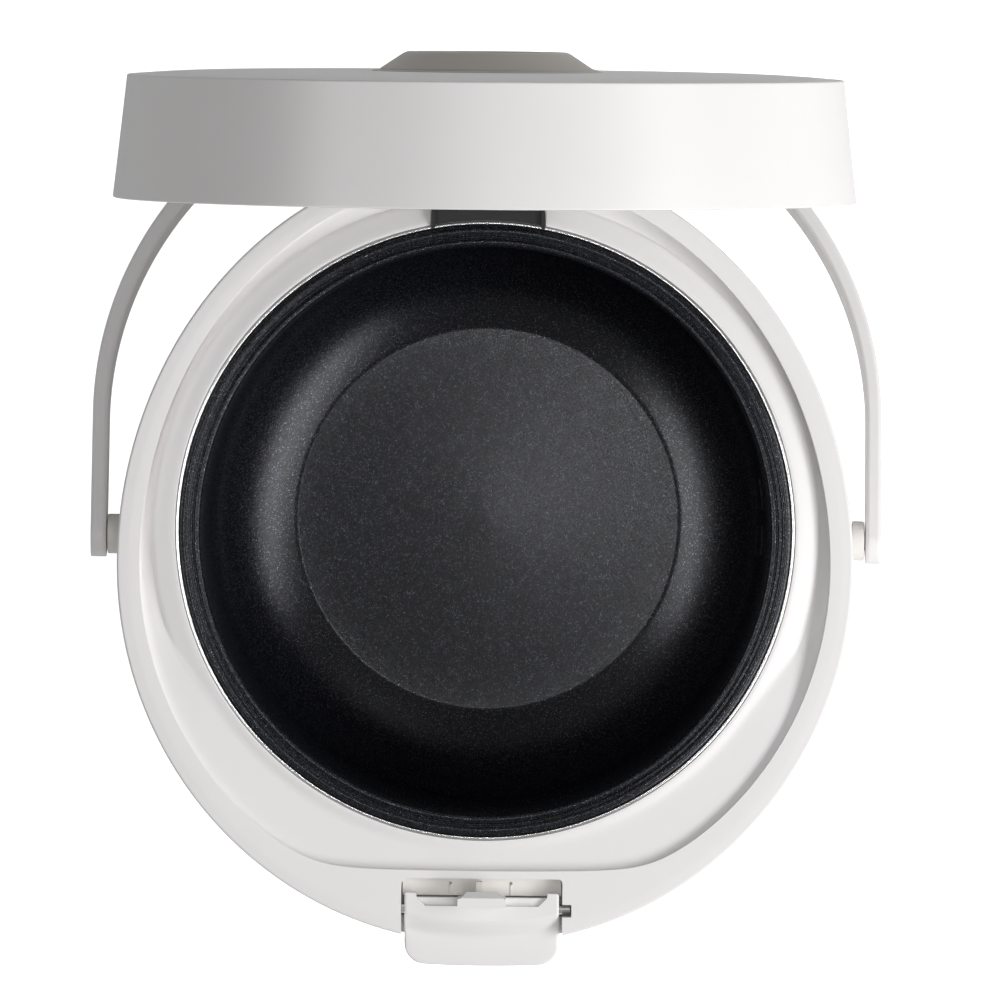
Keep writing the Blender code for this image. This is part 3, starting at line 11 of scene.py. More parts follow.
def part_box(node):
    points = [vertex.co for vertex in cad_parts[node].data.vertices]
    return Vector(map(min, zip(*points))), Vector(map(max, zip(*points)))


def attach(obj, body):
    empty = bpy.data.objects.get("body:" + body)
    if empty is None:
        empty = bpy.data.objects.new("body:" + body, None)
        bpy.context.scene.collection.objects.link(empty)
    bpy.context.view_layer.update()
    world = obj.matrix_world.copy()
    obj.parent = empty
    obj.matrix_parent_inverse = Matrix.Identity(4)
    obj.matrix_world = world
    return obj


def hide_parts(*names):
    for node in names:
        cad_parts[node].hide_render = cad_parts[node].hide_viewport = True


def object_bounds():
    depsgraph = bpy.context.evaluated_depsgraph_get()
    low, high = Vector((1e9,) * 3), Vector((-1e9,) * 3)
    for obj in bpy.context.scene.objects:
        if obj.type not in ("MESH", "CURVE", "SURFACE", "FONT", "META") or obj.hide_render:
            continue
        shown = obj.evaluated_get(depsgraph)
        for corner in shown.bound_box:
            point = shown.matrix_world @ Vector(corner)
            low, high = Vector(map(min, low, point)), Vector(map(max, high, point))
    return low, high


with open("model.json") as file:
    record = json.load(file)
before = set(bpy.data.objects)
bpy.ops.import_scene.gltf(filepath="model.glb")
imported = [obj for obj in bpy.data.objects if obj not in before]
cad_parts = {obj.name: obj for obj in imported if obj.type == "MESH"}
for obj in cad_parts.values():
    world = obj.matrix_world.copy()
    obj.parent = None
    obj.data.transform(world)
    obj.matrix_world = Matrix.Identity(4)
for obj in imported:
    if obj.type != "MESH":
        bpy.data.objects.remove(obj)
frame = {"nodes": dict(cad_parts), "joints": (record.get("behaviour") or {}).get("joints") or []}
cad_low, cad_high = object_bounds()

MM = 0.001
ROUND = 192  # points round each large oval or circle

pot_low, pot_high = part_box("inner_pot")
deck_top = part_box("top_deck")[1].z
pot_y = 0.5 * (pot_low.y + pot_high.y)


# ---- places --------------------------------------------------------------------------
def spot(x, y, z):
    """A point given in millimetres from the pot's axis and from the top of the deck."""
    return Vector((x * MM, pot_y + y * MM, deck_top + z * MM))


def joint(name):
    """A packed joint, with its limits."""
    return next(found for found in frame["joints"] if found["name"] == name)


def turn_about(point, degrees):
    """A turn round the sideways axis through a point."""
    return (
        Matrix.Translation(point) @ Matrix.Rotation(radians(degrees), 4, "X")
        @ Matrix.Translation(-point)
    )


HINGE = (0.0, 96.5, 4.3)
HANDLE_PIVOT = (0.0, -2.6, -23.0)
LATCH_PIN = (0.0, -103.1, -6.0)
STEAM_HOLE = (0.0, 20.0, 0.0)  # its axis through the closed lid
LID_OPEN = turn_about(spot(*HINGE), joint("lid_hinge")["range_deg"][0])
HANDLE_BACK = turn_about(spot(*HANDLE_PIVOT), -14.0)


# ---- finishes ------------------------------------------------------------------------
def new_group(name, inputs, outputs):
    """A shader node group with its sockets, its entry and its way out."""
    group = bpy.data.node_groups.new(name, "ShaderNodeTree")
    for label, kind, value in inputs:
        socket = group.interface.new_socket(label, in_out="INPUT", socket_type=kind)
        socket.default_value = value
    for label, kind in outputs:
        group.interface.new_socket(label, in_out="OUTPUT", socket_type=kind)
    return group, group.nodes.new("NodeGroupInput"), group.nodes.new("NodeGroupOutput")


def add(tree, kind, inputs=(), **settings):
    """A node with its settings made and its inputs given as values or as other nodes' outputs."""
    node = tree.nodes.new(kind)
    for key, value in settings.items():
        setattr(node, key, value)
    for key, value in dict(inputs).items():
        if isinstance(value, bpy.types.NodeSocket):
            tree.links.new(value, node.inputs[key])
        else:
            node.inputs[key].default_value = value
    return node


def span(tree, value, low, high, to_low, to_high):
    """The value's range from low to high, stretched to another range and held inside it."""
    node = add(tree, "ShaderNodeMapRange", {
        "Value": value, "From Min": low, "From Max": high, "To Min": to_low, "To Max": to_high,
    })
    return node.outputs["Result"]


def blend_colours(tree, share, first, second):
    """Goes from the first colour to the second with the share, which is a node's output."""
    node = add(tree, "ShaderNodeMix", data_type="RGBA")
    tree.links.new(share, node.inputs[0])
    for socket, colour in ((node.inputs[6], first), (node.inputs[7], second)):
        if isinstance(colour, bpy.types.NodeSocket):
            tree.links.new(colour, socket)
        else:
            socket.default_value = (*colour, 1.0)
    return node.outputs[2]


def moulded_grain():
    """The fine spark-eroded skin of a moulding, with slow changes of tone over it."""
    group, entry, out = new_group(
        "moulded_grain",
        [("Scale", "NodeSocketFloat", 2600.0), ("Cloud", "NodeSocketFloat", 22.0)],
        [("Height", "NodeSocketFloat"), ("Tone", "NodeSocketFloat")],
    )
    place = add(group, "ShaderNodeTexCoord").outputs["Object"]
    fine = add(group, "ShaderNodeTexNoise", {
        "Vector": place, "Scale": entry.outputs["Scale"], "Detail": 2.0, "Roughness": 0.55,
    })
    cloud = add(group, "ShaderNodeTexNoise", {
        "Vector": place, "Scale": entry.outputs["Cloud"], "Detail": 3.0, "Roughness": 0.5,
    })
    group.links.new(fine.outputs["Fac"], out.inputs["Height"])
    group.links.new(span(group, cloud.outputs["Fac"], 0.3, 0.7, 0.0, 1.0), out.inputs["Tone"])
    return group


def metal_flecks():
    """Aluminium flecks in a dark coating: which cells shine, and how the cells tilt."""
    group, entry, out = new_group(
        "metal_flecks",
        [("Scale", "NodeSocketFloat", 1500.0), ("Amount", "NodeSocketFloat", 0.2)],
        [("Mask", "NodeSocketFloat"), ("Tone", "NodeSocketFloat"), ("Height", "NodeSocketFloat")],
    )
    place = add(group, "ShaderNodeTexCoord").outputs["Object"]
    cells = add(group, "ShaderNodeTexVoronoi", {
        "Vector": place, "Scale": entry.outputs["Scale"],
    })
    parts = add(group, "ShaderNodeSeparateColor", {"Color": cells.outputs["Color"]})
    edge = add(group, "ShaderNodeMath", {
        0: 1.0, 1: entry.outputs["Amount"],
    }, operation="SUBTRACT")
    chosen = add(group, "ShaderNodeMapRange", {
        "Value": parts.outputs["Red"], "From Min": edge.outputs[0], "From Max": 1.0,
    })
    near = span(group, cells.outputs["Distance"], 0.15, 0.55, 1.0, 0.0)
    mask = add(group, "ShaderNodeMath", {
        0: chosen.outputs["Result"], 1: near,
    }, operation="MULTIPLY")
    group.links.new(mask.outputs[0], out.inputs["Mask"])
    group.links.new(parts.outputs["Green"], out.inputs["Tone"])
    group.links.new(cells.outputs["Distance"], out.inputs["Height"])
    return group


def brushed_lines():
    """Drawing or turning lines along one direction of a sheet."""
    group, entry, out = new_group(
        "brushed_lines",
        [("Stretch", "NodeSocketVector", (60.0, 60.0, 3000.0)), ("Scale", "NodeSocketFloat", 1.0)],
        [("Height", "NodeSocketFloat"), ("Tone", "NodeSocketFloat")],
    )
    place = add(group, "ShaderNodeTexCoord").outputs["Object"]
    stretched = add(group, "ShaderNodeVectorMath", {
        0: place, 1: entry.outputs["Stretch"],
    }, operation="MULTIPLY")
    lines = add(group, "ShaderNodeTexNoise", {
        "Vector": stretched.outputs[0], "Scale": entry.outputs["Scale"], "Detail": 4.0,
    })
    group.links.new(lines.outputs["Fac"], out.inputs["Height"])
    group.links.new(span(group, lines.outputs["Fac"], 0.3, 0.7, 0.0, 1.0), out.inputs["Tone"])
    return group


GRAIN = moulded_grain()
FLECKS = metal_flecks()
LINES = brushed_lines()


def new_finish(name):
    """A new material with its tree and its shader."""
    material = bpy.data.materials.new(name)
    material.use_nodes = True
    tree = material.node_tree
    return material, tree, tree.nodes["Principled BSDF"]


def use_group(tree, group, **values):
    """A node group placed in a material with its own values."""
    node = tree.nodes.new("ShaderNodeGroup")
    node.node_tree = group
    for key, value in values.items():
        node.inputs[key].default_value = value
    return node


def bump(tree, shader, height, distance, strength):
    """Fine relief from a height that changes over the surface."""
    node = add(tree, "ShaderNodeBump", {
        "Height": height, "Distance": distance, "Strength": strength,
    })
    tree.links.new(node.outputs["Normal"], shader.inputs["Normal"])


def surface(tree, shader, group, light, dark, roughness, spread, depth, strength):
    """Two close tones, an uneven gloss and a fine relief from one group."""
    tone, height = group.outputs["Tone"], group.outputs["Height"]
    gloss = span(tree, height, 0.3, 0.7, roughness - spread, roughness + spread)
    tree.links.new(blend_colours(tree, tone, dark, light), shader.inputs["Base Color"])
    tree.links.new(gloss, shader.inputs["Roughness"])
    bump(tree, shader, height, depth * MM, strength)


def moulded(name, light, dark, roughness, grain=2600.0, depth=0.02, spread=0.05):
    """A moulded plastic or rubber with a grained skin."""
    material, tree, shader = new_finish(name)
    grained = use_group(tree, GRAIN, Scale=grain)
    surface(tree, shader, grained, light, dark, roughness, spread, depth, 0.35)
    return material


def drawn_metal(name, light, dark, roughness, stretch=(60.0, 60.0, 3000.0), depth=0.01):
    """Drawn or turned metal with fine lines in its gloss."""
    material, tree, shader = new_finish(name)
    shader.inputs["Metallic"].default_value = 1.0
    lines = use_group(tree, LINES, Stretch=stretch)
    surface(tree, shader, lines, light, dark, roughness, 0.06, depth, 0.3)
    return material


def flecked_coating():
    """Near-black non-stick coating, full of fine silver flecks that tilt each their own way."""
    material, tree, shader = new_finish("flecked_nonstick")
    shader.inputs["Specular IOR Level"].default_value = 0.25
    flecks = use_group(tree, FLECKS, Scale=3300.0, Amount=0.8)
    ground_skin = use_group(tree, GRAIN, Scale=4200.0, Cloud=26.0)
    mask, tone = flecks.outputs["Mask"], flecks.outputs["Tone"]
    ground = blend_colours(
        tree, ground_skin.outputs["Tone"], (0.0030, 0.0032, 0.0042), (0.0045, 0.0050, 0.0075),
    )
    silver = blend_colours(tree, tone, (0.014, 0.015, 0.021), (0.24, 0.25, 0.31))
    tree.links.new(blend_colours(tree, mask, ground, silver), shader.inputs["Base Color"])
    tree.links.new(span(tree, mask, 0.0, 0.6, 0.0, 1.0), shader.inputs["Metallic"])
    tree.links.new(span(tree, tone, 0.0, 1.0, 0.22, 0.30), shader.inputs["Roughness"])
    bump(tree, shader, ground_skin.outputs["Height"], 0.05 * MM, 0.35)
    return material


ivory = moulded("ivory_plastic", (0.80, 0.785, 0.782), (0.785, 0.770, 0.766), 0.42)
ivory_inside = moulded(
    "ivory_inside", (0.78, 0.755, 0.72), (0.76, 0.735, 0.70), 0.5, grain=1800.0, depth=0.04,
)
# The vent cap gets a darker, warmer copy of the ivory. This is painted shade, because the cap's
# faces turn away from the lamps.
cap_painted_shade = moulded(
    "vent_cap_ivory_painted_shade", (0.56, 0.53, 0.49), (0.53, 0.50, 0.46), 0.5, grain=1900.0, depth=0.04,
)
panel_grey = moulded("panel_grey", (0.60, 0.585, 0.56), (0.57, 0.555, 0.53), 0.45)
base_grey = moulded(
    "base_grey", (0.56, 0.545, 0.52), (0.53, 0.515, 0.49), 0.55, grain=1500.0, depth=0.06,
)
hinge_black = moulded(
    "hinge_black", (0.006, 0.006, 0.006), (0.004, 0.004, 0.004), 0.6, grain=1700.0, depth=0.05,
)
socket_black = moulded(
    "socket_black", (0.02, 0.02, 0.022), (0.014, 0.014, 0.015), 0.5, grain=1400.0, depth=0.06,
)
seal_silicone = moulded(
    "seal_silicone", (0.66, 0.655, 0.64), (0.62, 0.615, 0.60), 0.6, grain=900.0, depth=0.05,
)
foot_rubber = moulded(
    "foot_rubber", (0.075, 0.075, 0.08), (0.055, 0.055, 0.06), 0.8, grain=1100.0, depth=0.1,
)
board_green = moulded(
    "board_green", (0.05, 0.22, 0.10), (0.04, 0.17, 0.08), 0.5, grain=700.0, depth=0.03,
)
window_black = moulded(
    "window_black", (0.016, 0.017, 0.02), (0.012, 0.012, 0.015), 0.12, depth=0.002, spread=0.02,
)
mark_grey = moulded(
    "level_mark_grey", (0.006, 0.006, 0.007), (0.004, 0.004, 0.005), 0.3, depth=0.01,
)
coating = flecked_coating()
bright_steel = drawn_metal("bright_steel", (0.80, 0.80, 0.79), (0.66, 0.66, 0.66), 0.22)
dark_steel = drawn_metal("spring_steel", (0.52, 0.52, 0.52), (0.36, 0.36, 0.37), 0.32)
plain_aluminium = drawn_metal(
    "turned_aluminium", (0.72, 0.73, 0.74), (0.60, 0.61, 0.62), 0.36, stretch=(240.0, 240.0, 240.0),
)


# ---- making pieces -------------------------------------------------------------------
def arc(steps, first=0.0, last=90.0):
    """Cosines and sines of even steps of a turn."""
    angles = [radians(first + (last - first) * step / steps) for step in range(steps + 1)]
    return [(cos(angle), sin(angle)) for angle in angles]


def softened(profile, steps=4):
    """A closed profile of (across, up, corner) points with each corner rounded off."""
    points = []
    for here, (across, up, *rounding) in enumerate(profile):
        corner = Vector((across, up))
        radius = rounding[0] if rounding else 0.0
        before = Vector(profile[here - 1][:2])
        after = Vector(profile[(here + 1) % len(profile)][:2])
        if radius <= 0.0:
            points.append(tuple(corner))
            continue
        setback_in = min(radius, 0.48 * (before - corner).length)
        setback_out = min(radius, 0.48 * (after - corner).length)
        start = corner + (before - corner).normalized() * setback_in
        end = corner + (after - corner).normalized() * setback_out
        for step in range(steps + 1):
            share = step / steps
            points.append(tuple(start.lerp(corner, share).lerp(corner.lerp(end, share), share)))
    return points


def skin(rows, loop=False):
    """A mesh through rows of points, capped at both ends or joined end to end."""
    bm = bmesh.new()
    laid = [[bm.verts.new(point) for point in row] for row in rows]
    pairs = list(zip(laid, laid[1:]))
    if loop:
        pairs.append((laid[-1], laid[0]))
    for low, high in pairs:
        for here in range(len(low)):
            after = (here + 1) % len(low)
            bm.faces.new((low[here], low[after], high[after], high[here]))
    if not loop:
        bm.faces.new(laid[0])
        bm.faces.new(laid[-1])
    return bm


def along(axis, first, second, reach):
    """Two places across an axis and a reach along it, as x, y and z."""
    place = [first, second]
    place.insert("XYZ".index(axis), reach)
    return place


def wheel(profile, centre=(0.0, 0.0, 0.0), axis="Z", sides=ROUND, loop=True):
    """A turned shape: (radius, reach) points in millimetres swept round an axis through centre."""
    rows = []
    for radius, reach in profile:
        row = []
        for side in range(sides):
            angle = 2 * pi * side / sides
            offset = along(axis, radius * cos(angle), radius * sin(angle), reach)
            row.append(spot(*(a + b for a, b in zip(centre, offset))))
        rows.append(row)
    return skin(rows, loop)


def plank(outline, low, high, axis="Z"):
    """A flat outline in two axes, drawn out from low to high along the third."""
    return skin([[spot(*along(axis, a, b, reach)) for a, b in outline] for reach in (low, high)])


def soft_box(low, high, corner=0.0, steps=4, axis="Z"):
    """A box whose four edges along one axis are rounded."""
    third = "XYZ".index(axis)
    (a0, b0), (a1, b1) = (
        [reach for number, reach in enumerate(end) if number != third] for end in (low, high)
    )
    corners = [(a0, b0), (a1, b0), (a1, b1), (a0, b1)]
    outline = softened([(a, b, corner) for a, b in corners], steps)
    return plank(outline, low[third], high[third], axis)


def solid(name, bm, material=None):
    """An object from a mesh in the making, with its faces turned outwards."""
    bmesh.ops.recalc_face_normals(bm, faces=bm.faces)
    mesh = bpy.data.meshes.new(name)
    bm.to_mesh(mesh)
    bm.free()
    if material is not None:
        mesh.materials.append(material)
    made = bpy.data.objects.new(name, mesh)
    bpy.context.scene.collection.objects.link(made)
    return made


def settle(made):
    """Turns a piece's modifiers into its own mesh."""
    bpy.context.view_layer.update()
    graph = bpy.context.evaluated_depsgraph_get()
    mesh = bpy.data.meshes.new_from_object(made.evaluated_get(graph))
    old = made.data
    made.modifiers.clear()
    made.data = mesh
    bpy.data.meshes.remove(old)
    return made


def shape(made, operation, *tools):
    """Cuts tools out of a piece, or welds them on, one after another."""
    for number, tool in enumerate(tools):
        cutter = solid(f"tool_{number}", tool)
        change = made.modifiers.new("shape", "BOOLEAN")
        change.operation = operation
        change.solver = "EXACT"
        change.object = cutter
        settle(made)
        old = cutter.data
        bpy.data.objects.remove(cutter)
        bpy.data.meshes.remove(old)
    return made


def soften_edges(made, width, segments=2, angle=38.0):
    """Rounds off the sharp edges of a whole piece."""
    change = made.modifiers.new("edges", "BEVEL")
    change.width = width * MM
    change.segments = segments
    change.limit_method = "ANGLE"
    change.angle_limit = radians(angle)
    change.use_clamp_overlap = True
    change.miter_outer = "MITER_ARC"
    return settle(made)


def fit(made, body, nodes=(), turn=None, crease=32.0):
    """Hangs a finished piece on its body, in place of the CAD nodes that it stands for."""
    if turn is not None:
        made.data.transform(turn)
    made.data.shade_smooth()
    made.data.set_sharp_from_angle(angle=radians(crease))
    even = made.modifiers.new("even_shading", "WEIGHTED_NORMAL")
    even.keep_sharp = True
    even.weight = 60
    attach(made, body)
    if nodes:
        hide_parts(*nodes)
    return made


# ---- outlines in plan ----------------------------------------------------------------
WIDEST = -9.4
BODY = (100.0, 111.6, 103.0)  # half width, reach to the back, reach to the front
RECESS = (93.7, 105.9, 94.4)
RECESS_FLAT = -92.9
RECESS_SOFTNESS = 5.0  # how gently the oval turns into the straight line
LID_INSET = 3.4


def oval_points(sizes, inset):
    """An outline of two half ovals that meet on the widest line."""
    half_width, back, front = sizes
    points = []
    for step in range(ROUND):
        angle = 2 * pi * step / ROUND
        reach = back if sin(angle) > 0 else front
        points.append(((half_width - inset) * cos(angle), WIDEST + (reach - inset) * sin(angle)))
    return points


def body_oval(inset, z):
    """The body's outline, drawn in by the inset."""
    return [spot(x, y, z) for x, y in oval_points(BODY, inset)]


def recess_oval(inset, z):
    """The deck's recess, whose front end is cut off by a soft straight line."""
    row = []
    for x, y in oval_points(RECESS, inset):
        over = y - (RECESS_FLAT + inset)
        held = 0.5 * (over + sqrt(over ** 2 + RECESS_SOFTNESS ** 2))
        row.append(spot(x, RECESS_FLAT + inset + held, z))
    return row


def lid_oval(inset, z):
    """The closed lid's outline, drawn in by the inset."""
    return body_oval(LID_INSET + inset, z)


def pot_circle(radius, z):
    """A circle round the pot whose points lie in line with the body outline's."""
    angles = [atan2(y, x) for x, y in oval_points(BODY, 0.0)]
    return [spot(radius * cos(angle), radius * sin(angle), z) for angle in angles]


def front_y(x, inset=0.0):
    """How far forward the body's front reaches beside the middle."""
    return WIDEST - (BODY[2] - inset) * sqrt(1.0 - (x / (BODY[0] - inset)) ** 2)


# ---- body ----------------------------------------------------------------------------
NOTCH = 21.9  # half the width of the latch's notch
COLLAR_MOUTH = 84.08
MOAT_DEPTH = 5.6
COLLAR = (  # distance from the pot's axis, and depth under the deck
    (91.0, 4.4), (90.6, 3.85), (90.1, 3.4), (89.3, 3.0), (88.3, 2.55),
    (87.2, 2.05), (86.2, 1.6), (85.3, 1.25), (84.7, 1.05), (84.3, 1.1), (COLLAR_MOUTH, 1.5),
)


def lowered(point, depth):
    return point - Vector((0.0, 0.0, depth * MM))


def smooth_share(value):
    """A value held between 0 and 1, with a soft start and end."""
    value = min(1.0, max(0.0, value))
    return value * value * (3 - 2 * value)


def moat_depth(edge):
    """The moat is deepest beside the pot, and shallower at the front and where the deck is wide."""
    ahead = (pot_y - edge.y) / MM
    width = sqrt(edge.x ** 2 + (edge.y - pot_y) ** 2) / MM - 91.5
    shallow = max(smooth_share((width - 2.4) / 5.0), smooth_share((ahead - 30.0) / 40.0))
    return MOAT_DEPTH - 3.5 * shallow


def slope_depth(share, depth):
    """The steep outer slope of the collar, from its foot to the moat's edge."""
    foot = COLLAR[0][1]
    return depth if depth < foot else foot + (depth - foot) * min(1.0, share / 0.9)


def make_deck():
    """The top deck: rim, undercut recess, moat, collar round the steel ring, latch notch."""
    rows = [body_oval(0.25, -9.7), body_oval(0.0, -9.45), body_oval(0.0, -1.2)]
    rows += [body_oval(0.9 * (1 - c), -0.3 - 0.9 * (1 - s)) for c, s in arc(6)[1:]]
    rows += [body_oval(2.6, -0.12), body_oval(3.6, 0.0)]
    rows += [recess_oval(-0.12 + 0.12 * s, -0.12 * (1 - c)) for c, s in arc(3)]
    edge = recess_oval(0.0, 0.0)
    foot = pot_circle(COLLAR[0][0], 0.0)
    for inset, share in ((-0.1, 0.5), (-0.3, 0.9), (-0.3, 1.0)):
        wall = recess_oval(inset, 0.0)
        rows.append([lowered(point, share * moat_depth(point)) for point in wall])
    for share in (0.9, 0.6, 0.3):
        rows.append([
            lowered(near.lerp(far, share), slope_depth(share, moat_depth(far)))
            for near, far in zip(foot, edge)
        ])
    for radius, depth in COLLAR:
        rows.append([
            lowered(point, min(depth, moat_depth(beside)))
            for point, beside in zip(pot_circle(radius, 0.0), edge)
        ])
    rows += [pot_circle(radius, z) for radius, z in (
        (COLLAR_MOUTH, -3.8), (80.8, -3.8), (80.8, -8.0), (83.0, -8.0),
    )]
    for line in (pot_circle(84.4, 0.0), body_oval(4.7, 0.0)):
        rows.append([lowered(point, 4.8 + moat_depth(beside)) for point, beside in zip(line, edge)])
    rows += [body_oval(4.7, -15.8), body_oval(2.9, -15.8), body_oval(2.9, -9.7)]
    deck = solid("deck_moulding", skin(rows, loop=True), ivory)
    ears = [
        soft_box((near, -105.7, -9.2), (far, -100.5, -4.0), 0.6)
        for near, far in ((-25.2, -NOTCH), (NOTCH, 25.2))
    ]
    shape(deck, "UNION", *ears)
    pocket = softened(
        [(-NOTCH, -124.0, 0), (NOTCH, -124.0, 0), (NOTCH, -94.5, 1.3), (-NOTCH, -94.5, 2.2)], 6,
    )
    shape(
        deck, "DIFFERENCE",
        plank(pocket, -9.45, 6.0),
        wheel([(1.7, -24.4), (1.7, 24.4)], LATCH_PIN, "X", 24, loop=False),
        soft_box((0.0, -104.8, -6.0), (24.4, -101.4, 6.0), 0.3),
        soft_box((-15.7, 77.0, -2.6), (15.7, 100.5, 6.0), 0.6),
    )
    fit(deck, "base", ["top_deck"])


def make_shell():
    """The outer wall, with its openings for the panel, the inlet and the handle studs."""
    outer = [
        (0.35, -10.0), (0.05, -10.35), (0.0, -14.0), (0.3, -35.0), (0.7, -65.0), (1.2, -95.0),
        (1.35, -110.0), (1.6, -120.0), (2.1, -123.8), (3.0, -126.3), (4.3, -128.0), (6.0, -129.0),
    ]
    wall = 2.5
    rows = [body_oval(inset, z) for inset, z in outer]
    rows += [body_oval(inset + wall, z) for inset, z in reversed(outer[:-2])]
    shell = solid("body_shell", skin(rows, loop=True), ivory)
    shape(
        shell, "DIFFERENCE",
        soft_box((-24.0, -122.0, -77.3), (24.0, -90.0, -36.7), 4.3, 8, "Y"),
        soft_box((-14.6, 90.0, -115.6), (14.6, 118.0, -94.4), 1.5, 5, "Y"),
        wheel([(3.7, -106.0), (3.7, 106.0)], HANDLE_PIVOT, "X", 48, loop=False),
    )
    fit(shell, "base", ["outer_shell"])


def in_plan(node):
    """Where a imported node's middle stands, in millimetres from the pot's axis."""
    low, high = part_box(node)
    return (low.x + high.x) / 2 / MM, ((low.y + high.y) / 2 - pot_y) / MM


def make_base():
    """The base cover with its slots and sunk screw holes, and the four feet."""
    rows = [body_oval(inset, z) for inset, z in (
        (10.6, -131.0), (9.4, -130.7), (8.9, -130.1), (8.8, -123.0), (10.6, -123.0), (10.6, -128.5),
    )]
    cover = solid("base_moulding", skin(rows), base_grey)
    slots = [
        soft_box((-18.0, y, -132.0), (18.0, y + 3.0, -127.5), 1.4, 5) for y in (24.0, 31.0, 38.0)
    ]
    screws = []
    screw_circle = 51.5
    for number in (1, 2, 3):
        x, y = in_plan(f"base_screw_{number}")
        angle = atan2(y, x)
        screws.append(wheel(
            [(3.3, -133.0), (3.3, -129.6), (1.8, -129.6), (1.8, -127.0)],
            (screw_circle * cos(angle), screw_circle * sin(angle), 0.0), "Z", 32, loop=False,
        ))
    shape(cover, "DIFFERENCE", *slots, *screws)
    fit(cover, "base", ["base_cover"])
    for number in (1, 2, 3, 4):
        node = f"foot_{number}"
        ground, tall = ((end.z - deck_top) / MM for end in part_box(node))
        pad = softened([
            (0.01, ground + 0.5), (4.2, ground + 0.5, 0.2), (4.6, ground, 0.3), (6.6, ground, 0.7),
            (7.0, tall, 0.3), (0.01, tall),
        ])
        turned = wheel(pad, (*in_plan(node), 0.0), "Z", 48, loop=False)
        fit(solid(f"foot_pad_{number}", turned, foot_rubber), "base", [node])


# ---- pot and bucket ------------------------------------------------------------------
POT_FLOOR = -89.0
POT_WALL = 77.0
LEVEL_MARKS = (  # turn down the wall's curve, its width, first and last bearing, in degrees
    (26.0, 1.6, 3.0, 9.5), (26.0, 1.6, -6.5, -0.5),
    (14.0, 1.6, 3.0, 9.5), (14.0, 1.6, -6.5, -0.5),
    (40.0, 2.4, -13.5, -12.2),
)


def pot_inside(turn):
    """The inner surface between the straight wall, at no turn, and the floor, at a quarter turn."""
    share = turn / (pi / 2)
    rise = 26.0 * (1 - share) ** 2 + 17.0 * share * (1 - share) + 0.35 * share * share
    return POT_WALL - 22.5 * share * share, POT_FLOOR + rise


def level_mark(turn, width, first, last, steps=12):
    """A thin dash on the pot's inner surface, sunk a little into it at the back."""
    bm = bmesh.new()
    rows = []
    for depth in (turn, turn + width):
        radius, z = pot_inside(radians(depth))
        face = (radius - 0.12 * cos(radians(depth)), z + 0.12 * sin(radians(depth)))
        for reach, height in ((radius + 0.05, z), face):
            bearings = arc(steps, first, last)
            rows.append([bm.verts.new(spot(reach * c, reach * s, height)) for c, s in bearings])
    ring = [rows[0], rows[1], rows[3], rows[2]]
    for row, after in zip(ring, ring[1:] + ring[:1]):
        for corners in zip(row, row[1:], after[1:], after):
            bm.faces.new(corners)
    for end in (0, -1):
        bm.faces.new([row[end] for row in ring])
    return bm


def make_pot():
    """The coated pot with its pressed and rolled rim, and the level dashes in it."""
    rim = softened([
        (79.0, -2.3), (82.8, -2.3, 0.3), (83.0, -1.4, 0.4), (83.0, -0.9, 0.5), (82.3, -0.6, 0.4),
        (81.8, -0.2, 0.5), (80.9, -0.25, 0.4), (80.5, -0.75, 0.2), (80.2, -0.75, 0.2),
        (79.95, -0.5, 0.15), (79.7, -0.5, 0.15), (79.45, -0.95, 0.2), (79.15, -0.95, 0.2),
        (78.9, -0.35, 0.4), (78.0, -0.3, 0.5), (77.4, -1.0, 0.6), (77.2, -4.0, 1.0),
        (POT_WALL, -9.0),
    ])
    inside = rim[1:] + [(POT_WALL, -20.0), (POT_WALL, -40.0)]
    inside += [pot_inside(pi / 2 * step / 20) for step in range(21)]
    inside += [(54.0, POT_FLOOR + 0.2), (53.5, POT_FLOOR + 0.08), (52.9, POT_FLOOR)]
    dome = 1.4
    for share in (0.9, 0.8, 0.7, 0.6, 0.5, 0.4, 0.3, 0.2, 0.1, 0.0005):
        inside.append(
            (52.2 * share, POT_FLOOR + dome * (1.0 - share) ** 1.3 * (1.0 + 0.6 * share))
        )
    outside = [(0.02, POT_FLOOR - 2.0), (40.0, POT_FLOOR - 2.0)]
    heel, heel_up = 24.0, POT_FLOOR + 22.0
    outside += [(55.0 + heel * c, heel_up - heel * s) for c, s in reversed(arc(10))]
    outside += [(79.0, -30.0), (79.0, -2.3)]
    pot = solid("inner_pot_coated", wheel(inside + outside, sides=256), coating)
    fit(pot, "pot", ["inner_pot"])
    for number, sizes in enumerate(LEVEL_MARKS, 1):
        mark = solid(f"level_mark_{number}", level_mark(*sizes), mark_grey)
        fit(mark, "pot")


def make_bucket():
    """The steel bucket, whose lip shows as a bright ring round the pot."""
    profile = softened([
        (84.0, -3.5, 0.1), (84.0, -0.85, 0.3), (83.25, -0.75, 0.3), (83.25, -2.6, 0.3),
        (80.4, -2.6, 0.8), (80.4, -95.0, 3.0), (74.4, -100.0, 3.0), (60.0, -100.0), (60.0, -101.0),
        (74.8, -101.0, 3.0), (81.4, -95.0, 3.0), (81.4, -3.5, 0.3),
    ])
    bucket = solid("heating_bucket", wheel(profile), bright_steel)
    fit(bucket, "base", ["heat_bucket"])


# ---- lid -----------------------------------------------------------------------------
LID_LOW = 0.3
LID_RISE = 32.0
LID_TOP = LID_LOW + LID_RISE
LID_LEAN = 3.5  # how far the wall leans in on its way up
PANEL_INSET = 20.6
PANEL_TOP = LID_TOP + 1.0
WELL = PANEL_TOP - 1.1  # the floor of the hollow for the vent cap
CAP_SEAT = WELL + 0.3


def hinge_notch(back, top):
    """The space that a lid piece leaves for the hinge."""
    return soft_box((-16.0, 91.5, -5.0), (16.0, back, top), 0.8)


